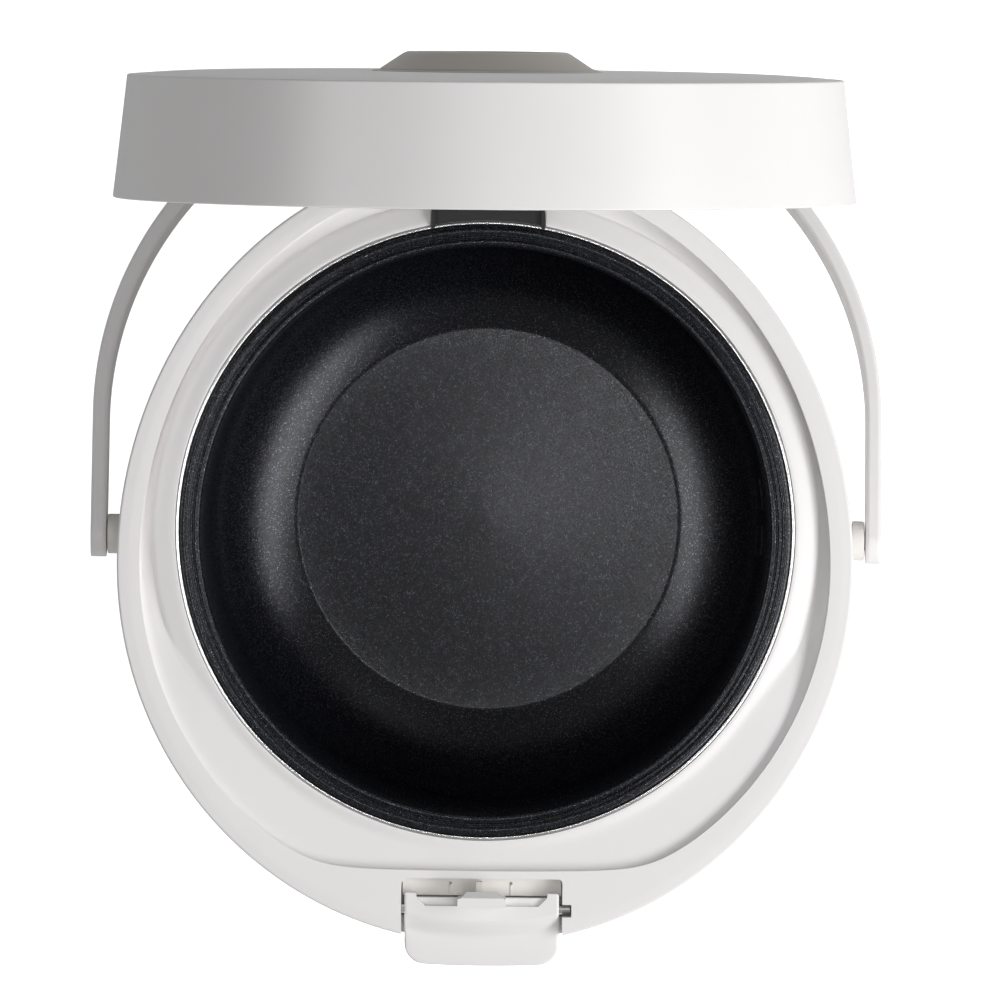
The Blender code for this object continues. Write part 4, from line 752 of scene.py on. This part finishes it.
def make_lid():
    """The lid's cover and the panel let into its top."""
    rows = [lid_oval(inset, LID_LOW + up) for inset, up in (
        (2.5, 0.0), (0.5, 0.0), (0.12, 0.15), (0.0, 0.5),
    )]
    rows += [
        lid_oval(LID_LEAN * share, LID_LOW + LID_RISE * share) for share in (0.25, 0.5, 0.75, 0.95)
    ]
    fillet = 0.55
    rows += [
        lid_oval(3.42 + fillet * (1 - c), LID_TOP - fillet + fillet * s) for c, s in arc(6)
    ]
    rows += [lid_oval(inset, LID_TOP + up) for inset, up in (
        (8.0, 0.3), (12.0, 0.6), (16.5, 0.85), (20.2, 1.0), (20.5, 0.9), (PANEL_INSET, 0.6),
        (PANEL_INSET, -1.4), (40.0, -1.4), (86.0, -1.4),
        (86.0, -3.9), (18.0, -3.9), (7.0, -2.9), (6.0, -4.4),
    )]
    cover = solid("lid_moulding", skin(rows, loop=True), ivory)
    shape(
        cover, "DIFFERENCE",
        hinge_notch(108.0, 8.5),
        wheel([(10.0, 5.0), (10.0, 40.0)], STEAM_HOLE, "Z", 96, loop=False),
    )
    fit(cover, "lid", ["lid_cover"], LID_OPEN)

    edge = 0.4
    rows = [lid_oval(21.0, LID_TOP - 1.1)]
    rows += [lid_oval(20.9 + edge * (1 - c), PANEL_TOP - edge + edge * s) for c, s in arc(4)]
    rows += [lid_oval(40.0, PANEL_TOP), lid_oval(60.0, PANEL_TOP)]
    panel = solid("lid_top_moulding", skin(rows), ivory)
    hollow = [
        (10.0, WELL - 4.0), (10.0, WELL), (30.5, WELL), (30.5, PANEL_TOP - 0.35),
        (30.9, PANEL_TOP + 0.05), (30.9, PANEL_TOP + 4.0),
    ]
    shape(panel, "DIFFERENCE", wheel(hollow, STEAM_HOLE, "Z", 160, loop=False))
    fit(panel, "lid", ["lid_top_panel"], LID_OPEN)


def make_vent_cap():
    """The steam vent's cap, with a ring of slits round its mouth."""
    profile = softened([(radius, CAP_SEAT + up, *rounding) for radius, up, *rounding in (
        (7.9, -10.0, 0.3), (9.5, -10.0, 0.3), (9.5, 0.0, 0.2), (29.9, 0.0, 0.2), (30.2, 0.3, 0.2),
        (30.2, 1.0, 0.3), (28.9, 1.2, 0.15), (28.7, 0.95, 0.1), (28.3, 0.95, 0.1), (28.1, 1.5, 0.3),
        (21.9, 5.6, 0.8), (21.0, 6.0, 0.5), (14.4, 5.9, 0.3), (13.6, 4.8, 0.3), (7.9, 4.8, 0.3),
    )])
    # The cap's finish is the ivory darkened as painted shade.
    cap = solid("steam_cap", wheel(profile, STEAM_HOLE, "Z", 160), cap_painted_shade)
    slits = []
    slit_count, near, far, half_width = 10, 15.6, 19.4, 0.7
    middle = Vector(STEAM_HOLE[:2])
    for number in range(slit_count):
        angle = 2 * pi * number / slit_count
        out = Vector((cos(angle), sin(angle)))
        across = Vector((-sin(angle), cos(angle))) * half_width
        outline = [
            (*(middle + out * reach + across * side), 0.6)
            for reach, side in ((near, -1), (far, -1), (far, 1), (near, 1))
        ]
        slits.append(plank(softened(outline), CAP_SEAT + 5.1, CAP_SEAT + 8.0))
    shape(cap, "DIFFERENCE", *slits)
    fit(cap, "vent", ["vent_cap"], LID_OPEN)


def make_liner():
    """The lid's lining, and the inner lid that plugs into it with its seal."""
    rows = [pot_circle(radius, z) for radius, z in (
        (82.8, 3.5), (82.85, 1.5), (83.4, 1.05), (86.0, 1.0), (86.4, 1.3), (87.2, 1.3), (87.6, 1.0),
    )]
    rows += [lid_oval(3.3, 1.0), lid_oval(2.85, 1.4), lid_oval(3.4, 5.5)]
    liner = solid("lid_lining", skin(rows), ivory_inside)
    shape(
        liner, "DIFFERENCE",
        soft_box((-8.7, -103.5, -5.0), (8.7, -94.5, 9.0), 1.0),
        soft_box((-10.8, -99.3, 2.5), (10.8, -95.7, 4.9)),
        hinge_notch(118.0, 9.0),
        wheel([(8.5, -2.0), (8.5, 9.0)], STEAM_HOLE, "Z", 64, loop=False),
    )
    fit(liner, "lid", ["lid_liner"], LID_OPEN)

    low = 0.1
    seal = softened([(radius, low + up, rounding) for radius, up, rounding in (
        (80.7, 0.0, 0.5), (81.9, 0.3, 0.6), (82.3, 1.0, 0.3), (82.3, 3.1, 0.3), (76.9, 3.1, 0.2),
        (76.9, 2.7, 0.1), (77.9, 2.7, 0.1), (77.9, 1.2, 0.1), (76.9, 1.2, 0.2), (77.5, 0.4, 0.5),
        (79.0, 0.9, 0.6),
    )])
    lip = solid("lid_seal", wheel(seal), seal_silicone)
    fit(lip, "inner_lid_unit", ["lid_gasket"], LID_OPEN)

    plate = low + 1.5
    pressed = softened([(radius, plate + up, *rounding) for radius, up, *rounding in (
        (0.02, 0.0), (58.0, 0.0), (59.0, -0.7, 0.8), (62.0, -0.7, 0.8), (63.0, 0.0, 0.6),
        (70.0, 0.0), (71.0, -0.7, 0.8), (73.0, -0.7, 0.8), (74.0, 0.0, 0.6),
        (77.6, 0.0, 0.1), (77.6, 0.9, 0.1), (74.0, 0.9), (73.0, 0.3, 0.6), (71.0, 0.3, 0.6),
        (70.0, 0.9), (63.0, 0.9), (62.0, 0.3, 0.6), (59.0, 0.3, 0.6), (58.0, 0.9), (0.02, 0.9),
    )])
    disc = solid("inner_lid_plate", wheel(pressed), plain_aluminium)
    holes = []
    for number in range(7):
        reach = 5.0 if number else 0.0
        angle = 2 * pi * number / 6
        centre = (reach * cos(angle), STEAM_HOLE[1] + reach * sin(angle), 0.0)
        holes.append(wheel([(1.4, -3.0), (1.4, 6.0)], centre, "Z", 24, loop=False))
    shape(disc, "DIFFERENCE", *holes)
    fit(disc, "inner_lid_unit", ["inner_lid"], LID_OPEN)


# ---- hinge ---------------------------------------------------------------------------
BRACKET_HALF = 15.4
LEAF_HALF = 10.4


def hinge_ears(near, far, low, high):
    """Round eyes on both sides of the hinge, each with a block that ties it to its piece."""
    tools = []
    for first, last in ((-far, -near), (near, far)):
        tools.append(wheel([(3.4, first), (3.4, last)], HINGE, "X", 48, loop=False))
        tools.append(soft_box((first, *low), (last, *high)))
    return tools


def hinge_bore():
    return wheel([(1.8, -30.0), (1.8, 30.0)], HINGE, "X", 32, loop=False)


def make_hinge():
    """The black bracket on the deck, and the leaf that carries the lid."""
    top = -0.1
    bracket = solid(
        "hinge_block",
        soft_box((-BRACKET_HALF, 77.0, -2.3), (BRACKET_HALF, 99.9, top), 0.3), hinge_black,
    )
    shape(bracket, "UNION", *hinge_ears(10.7, BRACKET_HALF, (93.1, top - 1.0), (99.9, 4.3)))
    over_the_ring = [(84.2, -91.0), (84.2, -0.65), (83.15, -0.65), (83.15, 40.0)]
    shape(
        bracket, "DIFFERENCE",
        wheel(over_the_ring, sides=256, loop=False),
        soft_box((-14.4, 70.0, top - 1.2), (14.4, 87.4, 30.0)),
        soft_box((-14.0, 87.9, top - 0.7), (14.0, 88.3, 2.0)),
        hinge_bore(),
    )
    soften_edges(bracket, 0.2)
    fit(bracket, "base", ["hinge_bracket"])

    leaf = solid(
        "hinge_leaf", soft_box((-LEAF_HALF, 77.5, 5.8), (LEAF_HALF, 92.5, 8.0), 1.2), hinge_black,
    )
    shape(leaf, "UNION", *hinge_ears(5.7, LEAF_HALF, (91.9, 4.3), (96.5, 8.0)))
    shape(leaf, "DIFFERENCE", hinge_bore())
    fit(leaf, "lid", ["hinge_arm"], LID_OPEN)


# ---- handle --------------------------------------------------------------------------
ARM_X = 105.85


def make_handle():
    """The flat carrying bow, and the studs that it swings on."""
    half_width, half_thick, chamfer, bend, straight = 6.3, 2.15, 0.9, 98.0, 33.0
    stations = [(ARM_X, -half_width * c, 0.0, max(half_width * s, 0.35)) for c, s in arc(14)]
    stations += [(ARM_X, straight * step / 6, 0.0, half_width) for step in range(1, 6)]
    for c, s in arc(48):
        stations.append((ARM_X - bend + bend * c, straight + bend * s, atan2(s, c), half_width))
    stations += [(-x, y, pi - angle, width) for x, y, angle, width in reversed(stations)]
    rows = []
    for x, y, angle, width in stations:
        ease = min(chamfer, 0.45 * width)
        edges = [
            (half_thick, width - ease), (half_thick - ease, width),
            (ease - half_thick, width), (-half_thick, width - ease),
        ]
        edges += [(-out, -up) for out, up in edges]
        rows.append([
            spot(x + out * cos(angle), HANDLE_PIVOT[1] + y + out * sin(angle), HANDLE_PIVOT[2] + up)
            for out, up in softened([(out, up, 0.35) for out, up in edges], 2)
        ])
    bow = solid("carry_handle", skin(rows), ivory)
    shape(bow, "DIFFERENCE", *[
        wheel([(2.9, s * 100.0), (2.9, s * 112.0)], HANDLE_PIVOT, "X", 48, loop=False)
        for s in (-1, 1)
    ])
    fit(bow, "handle", ["handle_bow"], HANDLE_BACK)
    for side, s in (("left", -1.0), ("right", 1.0)):
        profile = softened([(radius, s * reach, *rounding) for radius, reach, *rounding in (
            (0.02, 95.5), (3.4, 95.5, 0.3), (3.4, 100.1, 0.1), (5.45, 100.1, 0.2),
            (5.45, 103.4, 0.5), (2.6, 103.4, 0.1), (2.6, 107.7, 0.4), (1.2, 107.7, 0.2),
            (1.1, 107.2, 0.2), (0.02, 107.2),
        )], 3)
        stud = wheel(profile, HANDLE_PIVOT, "X", 64, loop=False)
        fit(solid(f"handle_stud_{side}", stud, ivory_inside),
            "base", [f"handle_pivot_{side}"])


# ---- latch ---------------------------------------------------------------------------
LEVER_HALF = 21.0
EAR_IN = 17.9  # the inner side of the lever's ears
TAB_CORNER = 5.4
TAB_TIP = -118.7


def lever_section(x):
    """The lever cut through beside the middle: (y, z) points from the back edge and round."""
    if abs(x) >= EAR_IN - 0.01:
        back = -98.4 - 0.25 * max(0.0, 1.0 - (LEVER_HALF - abs(x)) / 0.5)
    else:
        back = max(-101.9, min(-99.4, -99.4 - (EAR_IN - abs(x))))
    bow = front_y(x) - front_y(0.0)
    past = max(0.0, abs(x) - (LEVER_HALF - TAB_CORNER))
    tip = TAB_TIP + 0.3 * bow + TAB_CORNER - sqrt(max(0.0, TAB_CORNER ** 2 - past ** 2))
    bend = front_y(0.0, 3.4) + bow
    top, plate, drop = -0.4, 2.4, 4.2
    ease = 1.0 - min(1.0, (LEVER_HALF - abs(x)) / 0.6)
    face = top - 0.35 * ease * ease
    upper = [(back, face - 0.3), (back - 0.12, face - 0.08), (back - 0.4, face), (bend + 3.2, face)]
    for step in range(1, 8):
        share = step / 8
        upper.append((bend + 3.2 - 5.6 * share, face - drop * smooth_share(share)))
    upper += [(bend - 2.6, face - drop), (tip + 1.2, face - drop - 0.3)]
    upper += [(tip + 0.45, face - drop - 0.45), (tip + 0.1, face - drop - 0.75)]
    under = top - drop - plate
    lower = [(tip, top - drop - 1.1), (tip, under + 0.8), (tip + 0.4, under + 0.2)]
    lower += [(tip + 1.0, under)]
    for step in range(8):
        share = 1.0 - step / 8
        lower.append((bend + 4.0 - 6.4 * share, top - plate - (drop - 0.2) * smooth_share(share)))
    return upper + lower + [(bend + 4.0, top - plate), (back, top - plate)]


def make_hook():
    """The claw that holds the lid: its side outline crossed with its outline from above."""
    side = [(-101.9, -6.0), (-99.3, -6.0), (-99.3, 4.9), (-97.7, 4.9), (-97.7, 5.4), (-99.3, 7.0),
            (-101.9, 6.2)]
    above = [(-10.2, -102.2), (10.2, -102.2), (10.2, -99.75), (7.2, -99.75), (6.2, -99.5),
             (4.1, -97.3), (-3.6, -97.3), (-5.6, -99.4), (-7.2, -99.75), (-10.2, -99.75)]
    hook = solid("claw_hook", plank(side, -6.5, 6.5, "X"), ivory)
    shape(hook, "INTERSECT", plank(above, -8.0, 9.0))
    bm = bmesh.new()
    bm.from_mesh(hook.data)
    bpy.data.objects.remove(hook)
    return bm


def make_latch():
    """The lever with its press tab and its hook, and the tray that it lies in."""
    slope_in = 15.4
    xs = [0.25 * step - LEVER_HALF for step in range(13)] + [-EAR_IN, -EAR_IN + 0.15]
    xs += [-EAR_IN + (EAR_IN - slope_in) * step / 4 for step in range(1, 5)]
    xs += [-slope_in + slope_in * step / 10 for step in range(1, 11)]
    xs = sorted({round(s * x, 4) + 0.0 for x in xs for s in (-1, 1)})
    rows = [[spot(x, y, z) for y, z in lever_section(x)] for x in xs]
    lever = solid("latch_lever_moulding", skin(rows), ivory)
    shape(
        lever, "UNION",
        wheel([(2.9, -20.7), (2.9, 20.7)], LATCH_PIN, "X", 48, loop=False),
        soft_box((-EAR_IN, -104.9, -6.0), (EAR_IN, -101.3, -1.4), 0.2),
        soft_box((-EAR_IN, -102.4, -4.0), (EAR_IN, -99.75, -1.5), 0.2, 3, "X"),
        make_hook(),
    )
    shape(
        lever, "DIFFERENCE",
        wheel([(1.7, -30.0), (1.7, 30.0)], LATCH_PIN, "X", 32, loop=False),
        wheel([(3.2, 8.0), (3.2, 14.0)], LATCH_PIN, "X", 40, loop=False),
    )
    fit(lever, "latch", ["latch_lever"])

    floor = soft_box((-24.9, -103.7, -10.7), (24.9, -94.8, -9.5), 0.4)
    tray = solid("latch_pocket", floor, ivory_inside)
    shape(tray, "UNION", *[soft_box(low, high) for low, high in (
        ((-21.6, -95.9, -10.1), (21.6, -94.8, -4.1)),
        ((-21.6, -99.35, -10.1), (21.6, -95.0, -4.2)),
        ((-1.6, -99.0, -10.1), (0.1, -95.5, -1.0)),
        ((-8.75, -99.35, -5.0), (-8.45, -95.5, -3.9)),
        ((7.75, -99.35, -5.0), (8.05, -95.5, -3.9)),
    )])
    shape(tray, "DIFFERENCE", *[
        wheel([(0.4, -6.0), (0.4, -3.0)], (x, -96.0, 0.0), "Z", 20, loop=False) for x in (-8.6, 7.9)
    ])
    soften_edges(tray, 0.15)
    fit(tray, "base", ["latch_tray"])


# ---- controls and socket -------------------------------------------------------------
PANEL_LOW, PANEL_HIGH = -77.0, -37.0
KEYS = (("cancel", -10.5), ("start", 10.5))
KEY_Z = -66.0


def node_y(node, end):
    """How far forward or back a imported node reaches, in millimetres from the pot's axis."""
    return (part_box(node)[end].y - pot_y) / MM


def front_slab(half_width, low, high, outer, inner, corner, steps=24):
    """A rounded plate that follows the body's front between two insets."""
    outline = softened([
        (-half_width, low, corner), (half_width, low, corner),
        (half_width, high, corner), (-half_width, high, corner),
    ], 8)
    dense = []
    for (x0, z0), (x1, z1) in zip(outline, outline[1:] + outline[:1]):
        cuts = max(1, round(abs(x1 - x0) / (2 * half_width) * steps))
        dense += [(x0 + (x1 - x0) * cut / cuts, z0 + (z1 - z0) * cut / cuts) for cut in range(cuts)]
    rows = [[spot(x, front_y(x, inset), z) for x, z in dense] for inset in (outer, inner)]
    return skin(rows)


def bar(radius, near, far, x, z, sides):
    """A round bar from front to back."""
    return wheel([(radius, near), (radius, far)], (x, 0.0, z), "Y", sides, loop=False)


def make_controls():
    """The curved panel with its posts, the display window and the two press keys."""
    fascia = front_slab(23.7, PANEL_LOW, PANEL_HIGH, -0.5, 3.5, 4.0)
    panel = solid("control_fascia", fascia, panel_grey)
    board_front = node_y("control_board", 0)
    shape(panel, "UNION", *[
        bar(2.2, front_y(19.0, 3.5) - 1.0, board_front - 0.3, x, z, 20)
        for x in (-19.0, 19.0) for z in (PANEL_LOW + 4.0, PANEL_HIGH - 4.0)
    ])
    cuts = [front_slab(13.3, -53.3, -41.7, -5.0, 2.5, 1.3)]
    cuts += [bar(6.3, -130.0, -95.0, x, KEY_Z, 64) for _, x in KEYS]
    cuts += [bar(0.75, -114.0, -111.7, x, -57.5, 20) for _, x in KEYS]
    shape(panel, "DIFFERENCE", *cuts)
    fit(panel, "base", ["control_panel"])
    glass = front_slab(13.0, -53.0, -42.0, -0.45, 2.2, 1.2)
    fit(solid("display_glass", glass, window_black), "base", ["display_window"])
    for name, x in KEYS:
        face = front_y(x) - 1.4
        back = front_y(0.0) - 1.4 + 10.0
        profile = softened([
            (0.02, face + 0.35), (3.0, face + 0.2, 0.6), (5.2, face, 0.6), (6.0, face + 0.8, 0.6),
            (6.0, back - 3.0, 0.2), (2.0, back - 3.0, 0.1), (2.0, back, 0.2), (0.02, back),
        ], 4)
        key = solid(f"{name}_key_cap", wheel(profile, (x, 0.0, KEY_Z), "Y", 64, loop=False), ivory)
        fit(key, f"{name}_key", [f"{name}_button"])


def make_socket():
    """The mains inlet: a flanged block with a rounded well and holes for three prongs."""
    wide, tall, middle = 12.3, 8.3, -105.0
    face = node_y("power_inlet", 1)

    def block(x, margin, near, far, z, height, *rounding):
        return soft_box((x - margin, face + near, middle + z - height),
                        (x + margin, face + far, middle + z + height), *rounding, "Y")

    flange = block(0.0, wide + 6.0, -3.1, 0.0, 0.0, tall + 6.0, 3.0, 8)
    inlet = solid("socket_moulding", flange, socket_black)
    shape(inlet, "UNION", block(0.0, wide + 2.0, -17.0, -0.5, 0.0, tall + 2.0, 1.0, 4))
    cuts = [block(0.0, wide, -15.0, 5.0, 0.0, tall, 3.2, 8)]
    for x, z in ((-7.0, -2.0), (7.0, -2.0), (0.0, 2.0)):
        cuts.append(block(x, 1.3, -23.0, -2.0, z, 2.3, 0.3, 3))
    shape(inlet, "DIFFERENCE", *cuts)
    soften_edges(inlet, 0.35)
    fit(inlet, "base", ["power_inlet"])


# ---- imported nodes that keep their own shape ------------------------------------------
def finish_nodes():
    """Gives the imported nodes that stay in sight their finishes."""
    wanted = {
        bright_steel: (
            "hinge_pin", "latch_pin", "lid_catch", "pot_sensor", "live_prong", "neutral_prong",
            "earth_prong", "base_screw_1", "base_screw_2", "base_screw_3", "thermal_fuse",
        ),
        dark_steel: ("hinge_spring", "latch_spring", "sensor_spring"),
        plain_aluminium: ("heating_plate",),
        seal_silicone: ("steam_duct",),
        board_green: ("control_board", "power_board"),
    }
    shown = dict(frame["nodes"])
    for material, names in wanted.items():
        for name in names:
            node = shown.pop(name)
            node.data.materials.clear()
            node.data.materials.append(material)
    for node in shown.values():
        if not node.hide_render:
            node.data.materials.clear()
            node.data.materials.append(socket_black)


# ---- room ----------------------------------------------------------------------------
LAMPS = (  # name, place from the pot's middle in metres, width, height, watts, what it reaches
    ("key_from_right", (1.22, -0.45, 0.98), 2.2, 0.6, 24.5, "all"),
    ("light_overhead", (0.05, -0.03, 1.30), 0.46, 0.46, 2.3, "matt"),
    ("glint_overhead", (0.097, 0.004, 1.30), 0.15, 0.15, 1.5, "gloss"),
    ("strip_from_left", (-0.95, -0.1, 1.0), 1.3, 0.35, 8.5, "gloss"),
)
EYE, AIM = (23.66, 110.83, 2703.0), (3.925, 8.506, 0.0)
LENS = 359.05
CAMERA_ROLL = 0.554
WHITE = (1.0, 1.0, 1.0, 1.0)
BLACK = (0.0, 0.0, 0.0, 1.0)


def soft_light(name, offset, width, height, power, reach):
    """A soft oval lamp that faces the pot's middle, with its width lying level."""
    lamp = bpy.data.lights.new(name, "AREA")
    lamp.shape = "ELLIPSE"
    lamp.size = width
    lamp.size_y = height
    lamp.energy = power
    made = bpy.data.objects.new(name, lamp)
    target = spot(0.0, 0.0, 20.0)
    made.location = target + Vector(offset)
    made.rotation_euler = (target - made.location).to_track_quat("-Z", "Y").to_euler()
    made.visible_glossy = reach != "matt"
    made.visible_diffuse = reach != "gloss"
    bpy.context.scene.collection.objects.link(made)


def make_floor():
    """A pale floor whose own glow, seen from the camera only, hides its far edge."""
    bm = bmesh.new()
    bmesh.ops.create_grid(bm, x_segments=4, y_segments=4, size=6.0)
    material, tree, shader = new_finish("pale_floor")
    shader.inputs["Roughness"].default_value = 0.9
    cloud = add(tree, "ShaderNodeTexNoise", {"Scale": 3.0, "Detail": 2.0})
    tone = blend_colours(tree, cloud.outputs["Fac"], (0.88, 0.88, 0.88), (0.90, 0.90, 0.90))
    tree.links.new(tone, shader.inputs["Base Color"])
    seen = add(tree, "ShaderNodeLightPath").outputs["Is Camera Ray"]
    dark = add(tree, "ShaderNodeEmission", {"Color": BLACK, "Strength": 0.0}).outputs[0]
    glow = add(tree, "ShaderNodeEmission", {"Color": WHITE, "Strength": 0.9}).outputs[0]
    pick = add(tree, "ShaderNodeMixShader", {0: seen, 1: dark, 2: glow}).outputs[0]
    both = add(tree, "ShaderNodeAddShader", {0: shader.outputs[0], 1: pick}).outputs[0]
    tree.links.new(both, tree.nodes["Material Output"].inputs["Surface"])
    floor = solid("studio_floor", bm, material)
    floor.location.z = cad_low.z


def make_room():
    """The floor, a soft sky that is darker towards the back, and the lamps."""
    make_floor()
    world = bpy.data.worlds.new("studio")
    bpy.context.scene.world = world
    world.use_nodes = True
    tree = world.node_tree
    sky = tree.nodes["Background"]
    sky.inputs["Strength"].default_value = 0.34
    where = add(tree, "ShaderNodeTexCoord").outputs["Generated"]
    back = add(tree, "ShaderNodeSeparateXYZ", {0: where}).outputs["Y"]
    tree.links.new(span(tree, back, 0.25, 0.9, 1.0, 0.35), sky.inputs["Color"])
    for lamp in LAMPS:
        soft_light(*lamp)


def make_camera():
    """A long lens high above the open cooker, with a slight roll."""
    lens = bpy.data.cameras.new("camera")
    lens.sensor_width = 36.0
    lens.lens = LENS
    lens.clip_end = 50.0
    made = bpy.data.objects.new("camera", lens)
    bpy.context.scene.collection.objects.link(made)
    place, target = spot(*EYE), spot(*AIM)
    back = (place - target).normalized()
    right = Vector((0.0, 1.0, 0.0)).cross(back).normalized()
    up = back.cross(right)
    roll = Matrix.Rotation(radians(CAMERA_ROLL), 3, "Z")
    facing = Matrix((right, up, back)).transposed() @ roll
    made.matrix_world = Matrix.Translation(place) @ facing.to_4x4()
    bpy.context.scene.camera = made


make_deck()
make_shell()
make_base()
make_pot()
make_bucket()
make_lid()
make_vent_cap()
make_liner()
make_hinge()
make_handle()
make_latch()
make_controls()
make_socket()
finish_nodes()
make_room()
make_camera()
bpy.context.scene.view_settings.view_transform = "Standard"
